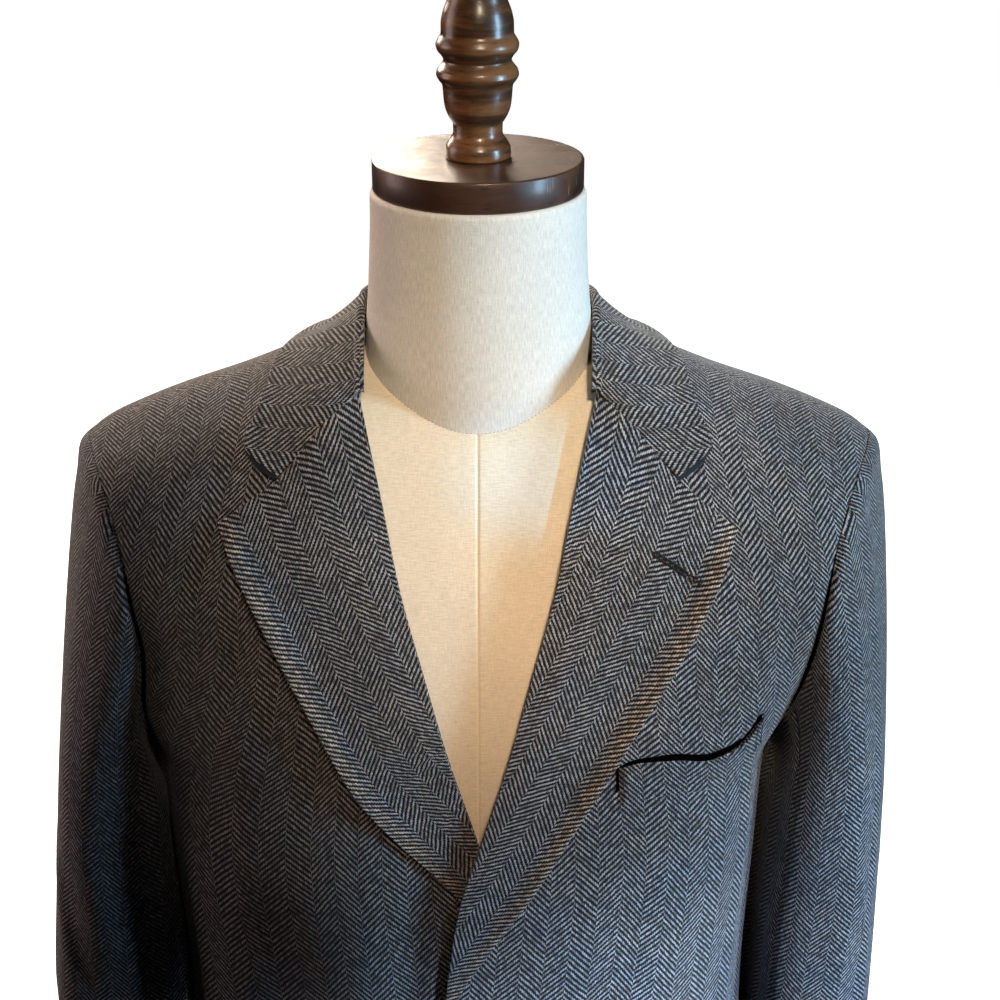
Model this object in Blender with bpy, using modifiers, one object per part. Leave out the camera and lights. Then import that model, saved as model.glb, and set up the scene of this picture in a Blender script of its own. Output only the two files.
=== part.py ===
"""Tweed hacking jacket worn by a limbless dress form on a short turned post.

Metres, +Z up. The origin is on the floor under the neck's axis, the chest faces -Y and
the wearer's left is +X. Every cloth panel is a strip of one body surface, read by a place
across the body and a drop below the shoulder ridge, and every sleeve panel is a strip of
one tube that runs from the armhole to the cuff.
"""

import math
from collections import namedtuple

import bpy
import numpy as np

# ---------------------------------------------------------------- driving sizes
CAP_TOP_Z = 1.010
NECK_POINT_Z = CAP_TOP_Z - 0.106
CLOTH = 0.0016
SEAM = 0.0004
ARMHOLE_SEAM = 0.0010
NECK_SEAM_RADIUS = 0.078
NAPE_RISE = 0.018
NAPE_WIDTH = 0.075
NAPE_DROP = 0.030
LEVELLING_DROP = 0.300
ARMHOLE_DROP = 0.250
HEM_DROP = 0.775

LAPEL_OUT = 0.0024
LAPEL_ROLL = 0.0046
LAPEL_FULL_WIDTH = 0.070
ROLL_FALLOFF = 1.5
FACING_TUCK = 0.0048
FRONT_TUCK = 0.0052
UNDER_LAP_X = (0.026, 0.075)
UNDER_LAP_DROPS = (0.170, 0.250)

COLLAR_OUT = 0.0036
COLLAR_BEND_OUT = 0.0066
COLLAR_FOLD_WIDTH = 0.0060
STAND_INSET = 0.0065
STAND_END_Y = -0.020
STAND_END_DEPTH = 0.006

VENT_DROP = 0.530
VENT_LAP = 0.032
VENT_RUN = 0.020
VENT_TUCK = 0.0027
VENT_TUCK_X = (0.016, 0.045)

WELT_FROM_X = 0.0803
WELT_TO_X = 0.1640
WELT_TOP_DROPS = (0.2174, 0.1890)
WELT_HEIGHT = 0.0250
WELT_GAPE = 0.0026
FLAP_FROM_X = 0.062
FLAP_TO_X = 0.166
FLAP_TOP_DROPS = (0.520, 0.552)
FLAP_HEIGHT = 0.056
PATCH_OUT = 0.0008
PATCH_CROWDING = 1.4

BUTTON_DROPS = (0.390, 0.490, 0.590)
BUTTON_RADIUS = 0.0115
BUTTON_HEIGHT = 0.0036
BUTTON_SEAT = 0.0005

CAP_RADIUS = 0.060
CAP_HEIGHT = 0.0173
CAP_EDGE = 0.0006
REST_GAP = 0.0008
FORM_BOTTOM_Z = 0.104
BASE_HEIGHT = 0.022
TOUCH_GAP = 0.0003

FRONT, BACK = -1, 1

# ---------------------------------------------------------------- tables
# One row for each level of the body: half its width, how far the chest and the back
# stand off the ridge, and how square the level's outline is (2 is an ellipse).
Level = namedtuple("Level", "drop half_width front back squareness")
JACKET_LEVELS = [
    Level(0.000, 0.242, 0.000, 0.000, 5.0),
    Level(0.005, 0.242, 0.030, 0.032, 5.0),
    Level(0.012, 0.241, 0.050, 0.054, 5.0),
    Level(0.022, 0.240, 0.068, 0.074, 5.0),
    Level(0.040, 0.237, 0.086, 0.090, 4.8),
    Level(0.070, 0.231, 0.101, 0.103, 4.6),
    Level(0.110, 0.221, 0.113, 0.114, 4.2),
    Level(0.160, 0.207, 0.122, 0.121, 3.7),
    Level(0.210, 0.191, 0.129, 0.124, 3.3),
    Level(0.250, 0.179, 0.133, 0.123, 3.0),
    Level(0.320, 0.177, 0.138, 0.117, 2.9),
    Level(0.420, 0.174, 0.140, 0.109, 2.8),
    Level(0.520, 0.178, 0.146, 0.114, 2.7),
    Level(0.640, 0.184, 0.153, 0.126, 2.6),
    Level(0.780, 0.189, 0.158, 0.133, 2.6),
]
FORM_LEVELS = [
    Level(0.000, 0.226, 0.000, 0.000, 4.0),
    Level(0.005, 0.224, 0.020, 0.022, 4.0),
    Level(0.012, 0.221, 0.038, 0.041, 4.0),
    Level(0.022, 0.216, 0.056, 0.060, 4.0),
    Level(0.032, 0.211, 0.067, 0.071, 4.0),
    Level(0.046, 0.205, 0.079, 0.080, 3.8),
    Level(0.075, 0.196, 0.092, 0.091, 3.6),
    Level(0.110, 0.189, 0.103, 0.102, 3.4),
    Level(0.160, 0.180, 0.112, 0.109, 3.1),
    Level(0.210, 0.172, 0.118, 0.112, 2.9),
    Level(0.260, 0.164, 0.122, 0.111, 2.7),
    Level(0.320, 0.158, 0.125, 0.105, 2.6),
    Level(0.420, 0.154, 0.126, 0.096, 2.5),
    Level(0.520, 0.158, 0.132, 0.102, 2.5),
    Level(0.640, 0.166, 0.139, 0.113, 2.5),
    Level(0.800, 0.171, 0.143, 0.119, 2.5),
]

# How far the shoulder ridge has fallen below the neck point, going out to the tip.
Ridge = namedtuple("Ridge", "x fall")
SHOULDER_RIDGE = [
    Ridge(0.000, 0.0000),
    Ridge(0.080, 0.0008),
    Ridge(0.107, 0.0096),
    Ridge(0.1425, 0.0230),
    Ridge(0.183, 0.0368),
    Ridge(0.207, 0.0480),
    Ridge(0.2353, 0.0620),
    Ridge(0.250, 0.0700),
]

# The armhole's seam on the front and the back, at each drop.
Armhole = namedtuple("Armhole", "drop front back")
ARMHOLE = [
    Armhole(0.000, 0.2360, 0.2360),
    Armhole(0.006, 0.2290, 0.2320),
    Armhole(0.018, 0.2200, 0.2260),
    Armhole(0.040, 0.2100, 0.2190),
    Armhole(0.070, 0.2030, 0.2130),
    Armhole(0.110, 0.1980, 0.2080),
    Armhole(0.150, 0.1940, 0.2030),
    Armhole(0.190, 0.1890, 0.1950),
    Armhole(0.225, 0.1830, 0.1860),
    Armhole(0.250, 0.1788, 0.1788),
]

# The front's inner edge: round the neck, down the lapel's roll and down the front edge,
# with the cutaway's curve at the hem.
Edge = namedtuple("Edge", "drop x")
FRONT_EDGE = [
    Edge(0.0000, 0.0780),
    Edge(0.0050, 0.0735),
    Edge(0.0165, 0.0665),
    Edge(0.0500, 0.0560),
    Edge(0.1140, 0.0425),
    Edge(0.1680, 0.0285),
    Edge(0.2150, 0.0165),
    Edge(0.2660, 0.0010),
    Edge(0.3060, -0.0110),
    Edge(0.3400, -0.0165),
    Edge(0.3800, -0.0200),
    Edge(0.6400, -0.0200),
    Edge(0.6900, -0.0160),
    Edge(0.7250, -0.0060),
    Edge(0.7500, 0.0100),
    Edge(0.7680, 0.0320),
    Edge(0.7750, 0.0560),
]

# Each lapel's outer edge, from its peak down to its foot on the front edge.
LEFT_LAPEL_EDGE = [
    Edge(0.0600, 0.1445),
    Edge(0.1200, 0.1240),
    Edge(0.1974, 0.0867),
    Edge(0.2490, 0.0585),
    Edge(0.3005, 0.0296),
    Edge(0.3379, 0.0058),
    Edge(0.3713, -0.0128),
    Edge(0.3880, -0.0192),
]
RIGHT_LAPEL_EDGE = [
    Edge(0.0570, 0.1448),
    Edge(0.1135, 0.1237),
    Edge(0.1780, 0.0968),
    Edge(0.2345, 0.0693),
    Edge(0.2670, 0.0453),
    Edge(0.3060, 0.0105),
    Edge(0.3400, -0.0110),
    Edge(0.3700, -0.0185),
]
GORGE_DROP = 0.0165
LAPEL_CORNER = (0.1114, 0.0452)
NOTCH_GAP = 0.0009

# Collar stations from the nape round to the notch: the fold's place, the point that the
# leaf bends over, and the leaf's outer edge, the last two as side, x and drop on the body.
Station = namedtuple(
    "Station", "fold_x fold_y fold_below bend_side bend_x bend_drop edge_side edge_x edge_drop"
)
COLLAR_STATIONS = [
    Station(0.0000, 0.0740, 0.0765, BACK, 0.0000, 0.0270, BACK, 0.0000, 0.0400),
    Station(0.0330, 0.0660, 0.0765, BACK, 0.0400, 0.0230, BACK, 0.0460, 0.0350),
    Station(0.0590, 0.0420, 0.0765, BACK, 0.0740, 0.0100, BACK, 0.0870, 0.0200),
    Station(0.0688, 0.0180, 0.0768, BACK, 0.0830, 0.0030, BACK, 0.1040, 0.0075),
    Station(0.0690, -0.0040, 0.0815, FRONT, 0.0835, 0.0000, FRONT, 0.1140, 0.0000),
    Station(0.0683, -0.0220, 0.0915, FRONT, 0.0830, 0.0050, FRONT, 0.1190, 0.0055),
    Station(0.0675, -0.0400, 0.1010, FRONT, 0.0835, 0.0130, FRONT, 0.1235, 0.0140),
    Station(0.0668, -0.0540, 0.1090, FRONT, 0.0860, 0.0220, FRONT, 0.1292, 0.0245),
    Station(0.0665, -0.0600, 0.1130, FRONT, 0.0880, 0.0300, FRONT, 0.1108, 0.0425),
]

# Sleeve levels below the cap: the tube's centre and half its width and depth.
Tube = namedtuple("Tube", "below centre_x centre_y half_x half_y")
LEFT_SLEEVE = [
    Tube(0.400, 0.2215, 0.0020, 0.0375, 0.0860),
    Tube(0.470, 0.2225, -0.0010, 0.0385, 0.0830),
    Tube(0.540, 0.2230, -0.0060, 0.0385, 0.0790),
    Tube(0.600, 0.2230, -0.0120, 0.0380, 0.0755),
    Tube(0.680, 0.2225, -0.0240, 0.0370, 0.0690),
    Tube(0.750, 0.2220, -0.0370, 0.0355, 0.0620),
    Tube(0.805, 0.2220, -0.0480, 0.0350, 0.0575),
]
RIGHT_SLEEVE = [
    Tube(0.400, 0.2320, 0.0020, 0.0400, 0.0850),
    Tube(0.470, 0.2370, -0.0010, 0.0430, 0.0815),
    Tube(0.540, 0.2410, -0.0060, 0.0460, 0.0770),
    Tube(0.600, 0.2430, -0.0120, 0.0465, 0.0730),
    Tube(0.680, 0.2430, -0.0240, 0.0430, 0.0670),
    Tube(0.750, 0.2420, -0.0370, 0.0390, 0.0610),
    Tube(0.805, 0.2410, -0.0480, 0.0365, 0.0570),
]
SLEEVE_SQUARENESS = 2.3
SLEEVE_CROWN = 0.070
SLEEVE_FULLNESS = 0.034
SLEEVE_FALL = 0.45
FRONT_SEAM_TURN = 0.360
BACK_SEAM_TURN = 0.725
SLEEVE_SEAM_TURN = 0.0008

# Soft troughs in the panels: the line each runs along, from its top to its foot, how far
# it spreads to either side, and how deep it is.
Fold = namedtuple("Fold", "panel x_top drop_top x_foot drop_foot spread depth")
PANEL_FOLDS = [
    Fold("front_left", 0.166, 0.262, 0.124, 0.500, 0.032, 0.0046),
    Fold("front_left", 0.096, 0.270, 0.070, 0.440, 0.026, 0.0022),
    Fold("front_right", 0.176, 0.095, 0.158, 0.330, 0.030, 0.0050),
    Fold("front_right", 0.140, 0.290, 0.098, 0.500, 0.034, 0.0036),
    Fold("back_left", 0.172, 0.100, 0.146, 0.420, 0.036, 0.0056),
    Fold("back_left", 0.090, 0.330, 0.060, 0.500, 0.040, 0.0030),
    Fold("back_right", 0.176, 0.120, 0.140, 0.470, 0.034, 0.0048),
    Fold("back_right", 0.080, 0.290, 0.066, 0.480, 0.036, 0.0034),
]
SleeveFold = namedtuple("SleeveFold", "sleeve turn_top below_top turn_foot below_foot spread depth")
SLEEVE_FOLDS = [
    SleeveFold("left", 0.110, 0.440, 0.300, 0.640, 0.090, 0.0044),
    SleeveFold("left", 0.040, 0.560, 0.220, 0.760, 0.070, 0.0030),
    SleeveFold("left", -0.190, 0.420, -0.110, 0.620, 0.080, 0.0034),
    SleeveFold("right", 0.150, 0.420, 0.260, 0.600, 0.080, 0.0050),
    SleeveFold("right", 0.060, 0.540, 0.180, 0.720, 0.080, 0.0036),
    SleeveFold("right", -0.160, 0.460, -0.090, 0.680, 0.080, 0.0030),
]

# Profiles down the outer side: height above a named level, and radius.
Turning = namedtuple("Turning", "height radius")
FINIAL_PROFILE = [
    Turning(0.1120, 0.0000),
    Turning(0.1112, 0.0040),
    Turning(0.1085, 0.0078),
    Turning(0.1040, 0.0108),
    Turning(0.0985, 0.0132),
    Turning(0.0925, 0.0150),
    Turning(0.0861, 0.0168),
    Turning(0.0802, 0.0190),
    Turning(0.0742, 0.0201),
    Turning(0.0690, 0.0202),
    Turning(0.0658, 0.0219),
    Turning(0.0628, 0.0231),
    Turning(0.0598, 0.0224),
    Turning(0.0568, 0.0200),
    Turning(0.0543, 0.0189),
    Turning(0.0519, 0.0203),
    Turning(0.0489, 0.0225),
    Turning(0.0464, 0.0230),
    Turning(0.0434, 0.0216),
    Turning(0.0409, 0.0198),
    Turning(0.0378, 0.0194),
    Turning(0.0336, 0.0191),
    Turning(0.0286, 0.0184),
    Turning(0.0242, 0.0168),
    Turning(0.0211, 0.0150),
    Turning(0.0195, 0.0140),
    Turning(0.0142, 0.0139),
    Turning(0.0123, 0.0146),
    Turning(0.0092, 0.0168),
    Turning(0.0060, 0.0184),
    Turning(0.0022, 0.0187),
    Turning(0.0003, 0.0183),
    Turning(0.0003, 0.0000),
]
NECK_PROFILE = [
    Turning(-0.0176, 0.0000),
    Turning(-0.0176, 0.0606),
    Turning(-0.0200, 0.0615),
    Turning(-0.0350, 0.0618),
    Turning(-0.0550, 0.0628),
    Turning(-0.0780, 0.0642),
    Turning(-0.1000, 0.0662),
    Turning(-0.1200, 0.0674),
    Turning(-0.1500, 0.0675),
    Turning(-0.1900, 0.0640),
    Turning(-0.1900, 0.0000),
]
BASE_PROFILE = [
    Turning(BASE_HEIGHT, 0.0000),
    Turning(BASE_HEIGHT, 0.1500),
    Turning(0.0205, 0.1535),
    Turning(0.0180, 0.1550),
    Turning(0.0165, 0.1590),
    Turning(0.0130, 0.1630),
    Turning(0.0080, 0.1650),
    Turning(0.0030, 0.1645),
    Turning(0.0000, 0.1620),
    Turning(0.0000, 0.0000),
]
POST_PROFILE = [
    Turning(0.0810, 0.0000),
    Turning(0.0810, 0.0300),
    Turning(0.0770, 0.0310),
    Turning(0.0730, 0.0280),
    Turning(0.0690, 0.0200),
    Turning(0.0640, 0.0190),
    Turning(0.0180, 0.0190),
    Turning(0.0130, 0.0210),
    Turning(0.0090, 0.0300),
    Turning(0.0040, 0.0340),
    Turning(0.0000, 0.0340),
    Turning(0.0000, 0.0000),
]

# Colour, roughness and metallic value of each finish.
Finish = namedtuple("Finish", "colour roughness metallic")
FINISHES = {
    "tweed": Finish((0.075, 0.068, 0.066), 0.92, 0.0),
    "canvas": Finish((0.78, 0.72, 0.62), 0.85, 0.0),
    "dark_wood": Finish((0.085, 0.042, 0.026), 0.38, 0.0),
    "horn": Finish((0.060, 0.036, 0.024), 0.35, 0.0),
}

# How many points each piece's grid has across and along.
PANEL_COLUMNS = 13
LAPEL_COLUMNS = 7
LAPEL_ROWS = 15
PATCH_COLUMNS = 9
PATCH_ROWS = 5
COLLAR_COLUMNS = 29
COLLAR_FOLD_POINTS = 5
COLLAR_LEAF_POINTS = 7
SLEEVE_TOP_COLUMNS = 15
SLEEVE_UNDER_COLUMNS = 9
SLEEVE_ROWS_CAP = 8
SLEEVE_ROWS_TUBE = 10
SLEEVE_CROWDING = 1.15
TORSO_POINTS = 36
NECK_STEPS = 36
WOOD_STEPS = 24
BASE_STEPS = 48
BUTTON_SIDES = 20
OUTLINE_SAMPLES = 80


# ---------------------------------------------------------------- curves and tables
def smooth_curve(keys, values):
    """A monotone cubic through the given points, held level past both ends."""
    keys = np.asarray(keys, dtype=float)
    values = np.asarray(values, dtype=float)
    steps = np.diff(keys)
    slopes = np.diff(values) / steps
    tangents = np.zeros(len(keys))
    tangents[0] = slopes[0]
    tangents[-1] = slopes[-1]
    for i in range(1, len(keys) - 1):
        if slopes[i - 1] * slopes[i] > 0:
            before = 2 * steps[i] + steps[i - 1]
            after = steps[i] + 2 * steps[i - 1]
            tangents[i] = (before + after) / (before / slopes[i - 1] + after / slopes[i])

    def read(key):
        key = min(max(key, keys[0]), keys[-1])
        i = min(max(int(np.searchsorted(keys, key)) - 1, 0), len(steps) - 1)
        t = (key - keys[i]) / steps[i]
        start = (2 * t**3 - 3 * t * t + 1) * values[i]
        end = (-2 * t**3 + 3 * t * t) * values[i + 1]
        bends = (t**3 - 2 * t * t + t) * tangents[i] + (t**3 - t * t) * tangents[i + 1]
        return start + end + bends * steps[i]

    return read


def table_curves(rows, key):
    """One smooth curve for each column of a table, read by the root of its key column."""
    keys = [math.sqrt(getattr(row, key)) for row in rows]
    return {name: smooth_curve(keys, [getattr(row, name) for row in rows]) for name in rows[0]._fields}


def edge_curve(rows):
    return smooth_curve([row.drop for row in rows], [row.x for row in rows])


JACKET = table_curves(JACKET_LEVELS, "drop")
FORM = table_curves(FORM_LEVELS, "drop")
RIDGE_FALL = smooth_curve([row.x for row in SHOULDER_RIDGE], [row.fall for row in SHOULDER_RIDGE])
ARMHOLE_X = {
    FRONT: smooth_curve([math.sqrt(row.drop) for row in ARMHOLE], [row.front for row in ARMHOLE]),
    BACK: smooth_curve([math.sqrt(row.drop) for row in ARMHOLE], [row.back for row in ARMHOLE]),
}
FRONT_EDGE_X = edge_curve(FRONT_EDGE)


def ease(value, low, high):
    """Runs smoothly from 0 at low to 1 at high."""
    t = min(max((value - low) / (high - low), 0.0), 1.0)
    return t * t * (3 - 2 * t)


def find_change(is_before, low, high):
    """Halves the span until it closes on the value at which the test stops holding."""
    for _ in range(40):
        middle = (low + high) / 2
        if is_before(middle):
            low = middle
        else:
            high = middle
    return low


def trough(place, top, foot, spread, depth):
    """Depth of a fold at a place, whose second number runs along it and first across it."""
    along = (place[1] - top[1]) / (foot[1] - top[1])
    if not 0 < along < 1:
        return 0.0
    across = (place[0] - top[0] - (foot[0] - top[0]) * along) / spread
    return depth * math.sin(math.pi * along) * max(1 - across**2, 0.0) ** 2


# ---------------------------------------------------------------- the body surface
def level_height(x, drop, side, neck_z):
    """Height of the level at a drop, which slopes with the shoulder near the ridge."""
    z = neck_z - drop - RIDGE_FALL(abs(x)) * (1 - ease(drop, 0.0, LEVELLING_DROP))
    if side == BACK:
        swell = drop / NAPE_DROP * math.exp(1 - drop / NAPE_DROP)
        z += NAPE_RISE * swell * math.exp(-((x / NAPE_WIDTH) ** 2))
    return z


def body_point(x, drop, side, curves=JACKET, neck_z=NECK_POINT_Z):
    """The point of the body surface across at x and down at drop, on one side."""
    key = math.sqrt(max(drop, 0.0))
    squareness = curves["squareness"](key)
    depth = curves["front" if side == FRONT else "back"](key)
    across = min(abs(x) / curves["half_width"](key), 1.0)
    y = side * depth * (1 - across**squareness) ** (1 / squareness)
    return np.array((x, y, level_height(x, drop, side, neck_z)))


def body_normal(x, drop, side):
    step = 0.0004
    across = body_point(x + step, drop, side) - body_point(x - step, drop, side)
    down = body_point(x, drop + step, side) - body_point(x, max(drop - step, 0.0), side)
    normal = np.cross(across, down)
    normal /= np.linalg.norm(normal)
    return normal if normal[1] * side > 0 or normal[2] > 0.7 else -normal


def raised_point(x, drop, side, out):
    return body_point(x, drop, side) + out * body_normal(x, drop, side)


def turn_at(x, half_width, squareness):
    """The angle round a level's outline at which it reaches x."""
    across = min(abs(x) / half_width, 1.0) ** (squareness / 2)
    return math.acos(math.copysign(across, x))


def level_row(drop, side, x_from, x_to, count, curves=JACKET, neck_z=NECK_POINT_Z):
    """Evenly spaced points along one level, from one x to another."""
    key = math.sqrt(max(drop, 0.0))
    half_width = curves["half_width"](key)
    squareness = curves["squareness"](key)
    turn_from = turn_at(x_from, half_width, squareness)
    turn_to = turn_at(x_to, half_width, squareness)
    points = []
    for turn in np.linspace(turn_from, turn_to, OUTLINE_SAMPLES):
        across = math.cos(turn)
        x = math.copysign(half_width * abs(across) ** (2 / squareness), across)
        points.append(body_point(x, drop, side, curves, neck_z))
    return even_points(np.array(points), count)


def even_points(points, count):
    """Re-reads a polyline at evenly spaced lengths."""
    lengths = np.concatenate(([0.0], np.cumsum(np.linalg.norm(np.diff(points, axis=0), axis=1))))
    places = np.linspace(0.0, lengths[-1], count)
    return np.stack([np.interp(places, lengths, column) for column in points.T], axis=1)


# ---------------------------------------------------------------- objects
def make_collection(name):
    collection = bpy.data.collections.new(name)
    bpy.context.scene.collection.children.link(collection)
    return collection


def make_material(name):
    finish = FINISHES[name]
    material = bpy.data.materials.new(name)
    material.use_nodes = True
    shader = material.node_tree.nodes["Principled BSDF"]
    shader.inputs["Base Color"].default_value = (*finish.colour, 1.0)
    shader.inputs["Roughness"].default_value = finish.roughness
    shader.inputs["Metallic"].default_value = finish.metallic
    return material


def mesh_object(name, points, faces, finish, collection):
    mesh = bpy.data.meshes.new(name)
    mesh.from_pydata([tuple(point) for point in points], [], faces)
    mesh.update()
    mesh.shade_smooth()
    part = bpy.data.objects.new(name, mesh)
    part.data.materials.append(make_material(finish))
    collection.objects.link(part)
    return part


def grid_faces(rows, columns, flip):
    faces = []
    for i in range(rows - 1):
        for j in range(columns - 1):
            corner = i * columns + j
            face = (corner, corner + 1, corner + columns + 1, corner + columns)
            faces.append(face[::-1] if flip else face)
    return faces


def cloth_sheet(name, grid, flip, mirrored, collection, thickness=CLOTH):
    """A cloth wall whose outer face is the grid, on the wearer's left or mirrored."""
    grid = np.array(grid)
    rows, columns = grid.shape[:2]
    points = grid.reshape(-1, 3).copy()
    if mirrored:
        points[:, 0] *= -1
    part = mesh_object(name, points, grid_faces(rows, columns, flip != mirrored), "tweed", collection)
    wall = part.modifiers.new("Cloth wall", "SOLIDIFY")
    wall.thickness = thickness
    wall.offset = -1.0
    return part


def turned_object(name, profile, level_z, finish, collection, steps):
    """A turned solid from a profile that runs down its outer side."""
    points = [(row.radius, 0.0, level_z + row.height) for row in profile]
    mesh = bpy.data.meshes.new(name)
    mesh.from_pydata(points, [(i, i + 1) for i in range(len(points) - 1)], [])
    part = bpy.data.objects.new(name, mesh)
    part.data.materials.append(make_material(finish))
    collection.objects.link(part)
    lathe = part.modifiers.new("Lathe", "SCREW")
    lathe.steps = steps
    lathe.render_steps = steps
    lathe.use_merge_vertices = True
    lathe.merge_threshold = 0.00001
    lathe.use_smooth_shade = True
    return part


# ---------------------------------------------------------------- jacket panels
def panel_drops():
    """Drops of a body panel's rows, close together on the shoulder and at the hem."""
    shoulder = [0.00002, 0.0012, 0.0045, 0.0100, 0.0180, 0.0290, 0.0430, 0.0620, 0.0860]
    chest = [0.1150, 0.1500, 0.1850, 0.2200, ARMHOLE_DROP]
    body = [0.2800, 0.3100, 0.3400, 0.3800, 0.4300, 0.4800, VENT_DROP - VENT_RUN, VENT_DROP, 0.5900, 0.6500]
    hem = [0.6950, 0.7280, 0.7520, 0.7680, HEM_DROP]
    return shoulder + chest + body + hem


def side_end(drop, side):
    """The x at which a panel ends: at its armhole, or at the side seam below it."""
    if drop < ARMHOLE_DROP:
        return ARMHOLE_X[side](math.sqrt(drop)) - SEAM
    return JACKET["half_width"](math.sqrt(drop))


def seam_relief(grid, side):
    """Draws a panel's points back from the shoulder and side seams' middle plane."""
    for row in grid:
        for point in row:
            if point[1] * side < SEAM:
                point[1] = side * SEAM
    return grid


def fold_depth(panel, x, drop):
    """How far a panel's folds draw it inwards at a place."""
    depth = 0.0
    for row in PANEL_FOLDS:
        if row.panel == panel:
            top = (row.x_top, row.drop_top)
            foot = (row.x_foot, row.drop_foot)
            depth += trough((x, drop), top, foot, row.spread, row.depth)
    return depth


def front_panel(name, tuck):
    grid = []
    for drop in panel_drops():
        row = level_row(drop, FRONT, FRONT_EDGE_X(drop), side_end(drop, FRONT), PANEL_COLUMNS)
        for point in row:
            point[1] += tuck * under_lap(point[0], drop) + fold_depth(name, point[0], drop)
        grid.append(row)
    return seam_relief(grid, FRONT)


def under_lap(x, drop):
    """1 where the wearer's right side runs under the left, easing to 0 away from it."""
    return (1 - ease(x, *UNDER_LAP_X)) * ease(drop, *UNDER_LAP_DROPS)


def back_panel(name, lap, tuck):
    """A back panel, whose centre edge reaches under the other below the vent's top."""
    grid = []
    for drop in panel_drops():
        reach = lap * ease(drop, VENT_DROP - VENT_RUN, VENT_DROP)
        depth = tuck * ease(drop, VENT_DROP - 2.5 * VENT_RUN, VENT_DROP - VENT_RUN)
        row = level_row(drop, BACK, back_centre(drop) - reach, side_end(drop, BACK), PANEL_COLUMNS)
        for point in row:
            point[1] -= depth * (1 - ease(point[0], *VENT_TUCK_X)) + fold_depth(name, point[0], drop)
        grid.append(row)
    return seam_relief(grid, BACK)


def back_centre(drop):
    """The back's inner edge: the neck seam's curve, then the centre seam."""
    if drop >= nape_drop():
        return SEAM
    edge = find_change(
        lambda x: math.hypot(*body_point(x, drop, BACK)[:2]) < NECK_SEAM_RADIUS, 0.0, NECK_SEAM_RADIUS
    )
    return max(edge, SEAM)


def nape_drop():
    """The drop at which the centre back reaches the neck seam."""
    return find_change(lambda drop: body_point(0.0, drop, BACK)[1] < NECK_SEAM_RADIUS, 0.0, ARMHOLE_DROP)


# ---------------------------------------------------------------- pieces that lie on a panel
def blend(a, b, t):
    return (1 - t) * np.asarray(a) + t * np.asarray(b)


def coons_patch(inner, outer, foot, head, rows, columns):
    """A grid of places on the body, filled in between four edges."""
    inner, outer = even_points(inner, rows), even_points(outer, rows)
    foot, head = even_points(foot, columns), even_points(head, columns)
    patch = []
    for i, v in enumerate(np.linspace(0, 1, rows)):
        row = []
        for j, u in enumerate(np.linspace(0, 1, columns)):
            ruled = blend(inner[i], outer[i], u) + blend(foot[j], head[j], v)
            corners = blend(blend(inner[0], outer[0], u), blend(inner[-1], outer[-1], u), v)
            row.append(ruled - corners)
        patch.append(row)
    return patch


def edge_points(curve, drop_from, drop_to, count=40):
    drops = np.linspace(drop_from, drop_to, count)
    return np.array([(curve(drop), drop) for drop in drops])


def lapel_sheet(name, edge_rows, tucked, collection):
    """A turned-back lapel: roll line, outer edge, foot and gorge with its notch corner."""
    outer_curve = edge_curve(edge_rows)
    peak, foot = edge_rows[0], edge_rows[-1]
    roll = edge_points(FRONT_EDGE_X, foot.drop, GORGE_DROP + NOTCH_GAP)
    outer = edge_points(outer_curve, foot.drop, peak.drop)
    head = np.array([roll[-1], LAPEL_CORNER, outer[-1]])
    patch = coons_patch(roll, outer, np.array([roll[0], outer[0]]), head, LAPEL_ROWS, LAPEL_COLUMNS)
    grid = []
    for row in patch:
        grid_row = []
        width = np.linalg.norm(row[-1] - row[0])
        for j, (x, drop) in enumerate(row):
            across = j / (LAPEL_COLUMNS - 1)
            lift = LAPEL_ROLL * min(width / LAPEL_FULL_WIDTH, 1.0) * roll_shape(across)
            lap = under_lap(x, drop) if tucked else 0.0
            out = LAPEL_OUT + lift * (1 - lap) - FACING_TUCK * lap
            grid_row.append(raised_point(x, drop, FRONT, out))
        grid.append(grid_row)
    return cloth_sheet(name, grid, flip=False, mirrored=tucked, collection=collection)


def roll_shape(across):
    """How far a lapel stands up across its width, most a quarter of the way out."""
    return (1 - across) ** ROLL_FALLOFF * (1 + ease(across, 0.0, 0.25)) / 2


def lying_patch(name, x_from, x_to, top_drops, height, gape, mirrored, collection):
    """A strip that lies on a front: a welt, or a flap that slants down to the side."""
    grid = []
    for up in np.linspace(0, 1, PATCH_ROWS):
        grid_row = []
        for along in np.linspace(0, 1, PATCH_COLUMNS):
            x = x_to - (x_to - x_from) * (1 - along) ** PATCH_CROWDING
            drop = top_drops[0] + (top_drops[1] - top_drops[0]) * along + height * (1 - up)
            swell = gape * up**2 * math.sin(math.pi * along)
            grid_row.append(raised_point(x, drop, FRONT, PATCH_OUT + CLOTH + swell))
        grid.append(grid_row)
    return cloth_sheet(name, grid, flip=False, mirrored=mirrored, collection=collection)


def collar_sheet(collection):
    """The folded collar: stand up to the fold, over it and down the leaf."""
    stations = collar_section_curves()
    grid = []
    for place in np.linspace(-1, 1, COLLAR_COLUMNS):
        section = collar_section(stations, abs(place))
        if place < 0:
            section[:, 0] *= -1
        grid.append(section)
    return cloth_sheet("collar", grid, flip=True, mirrored=False, collection=collection)


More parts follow.
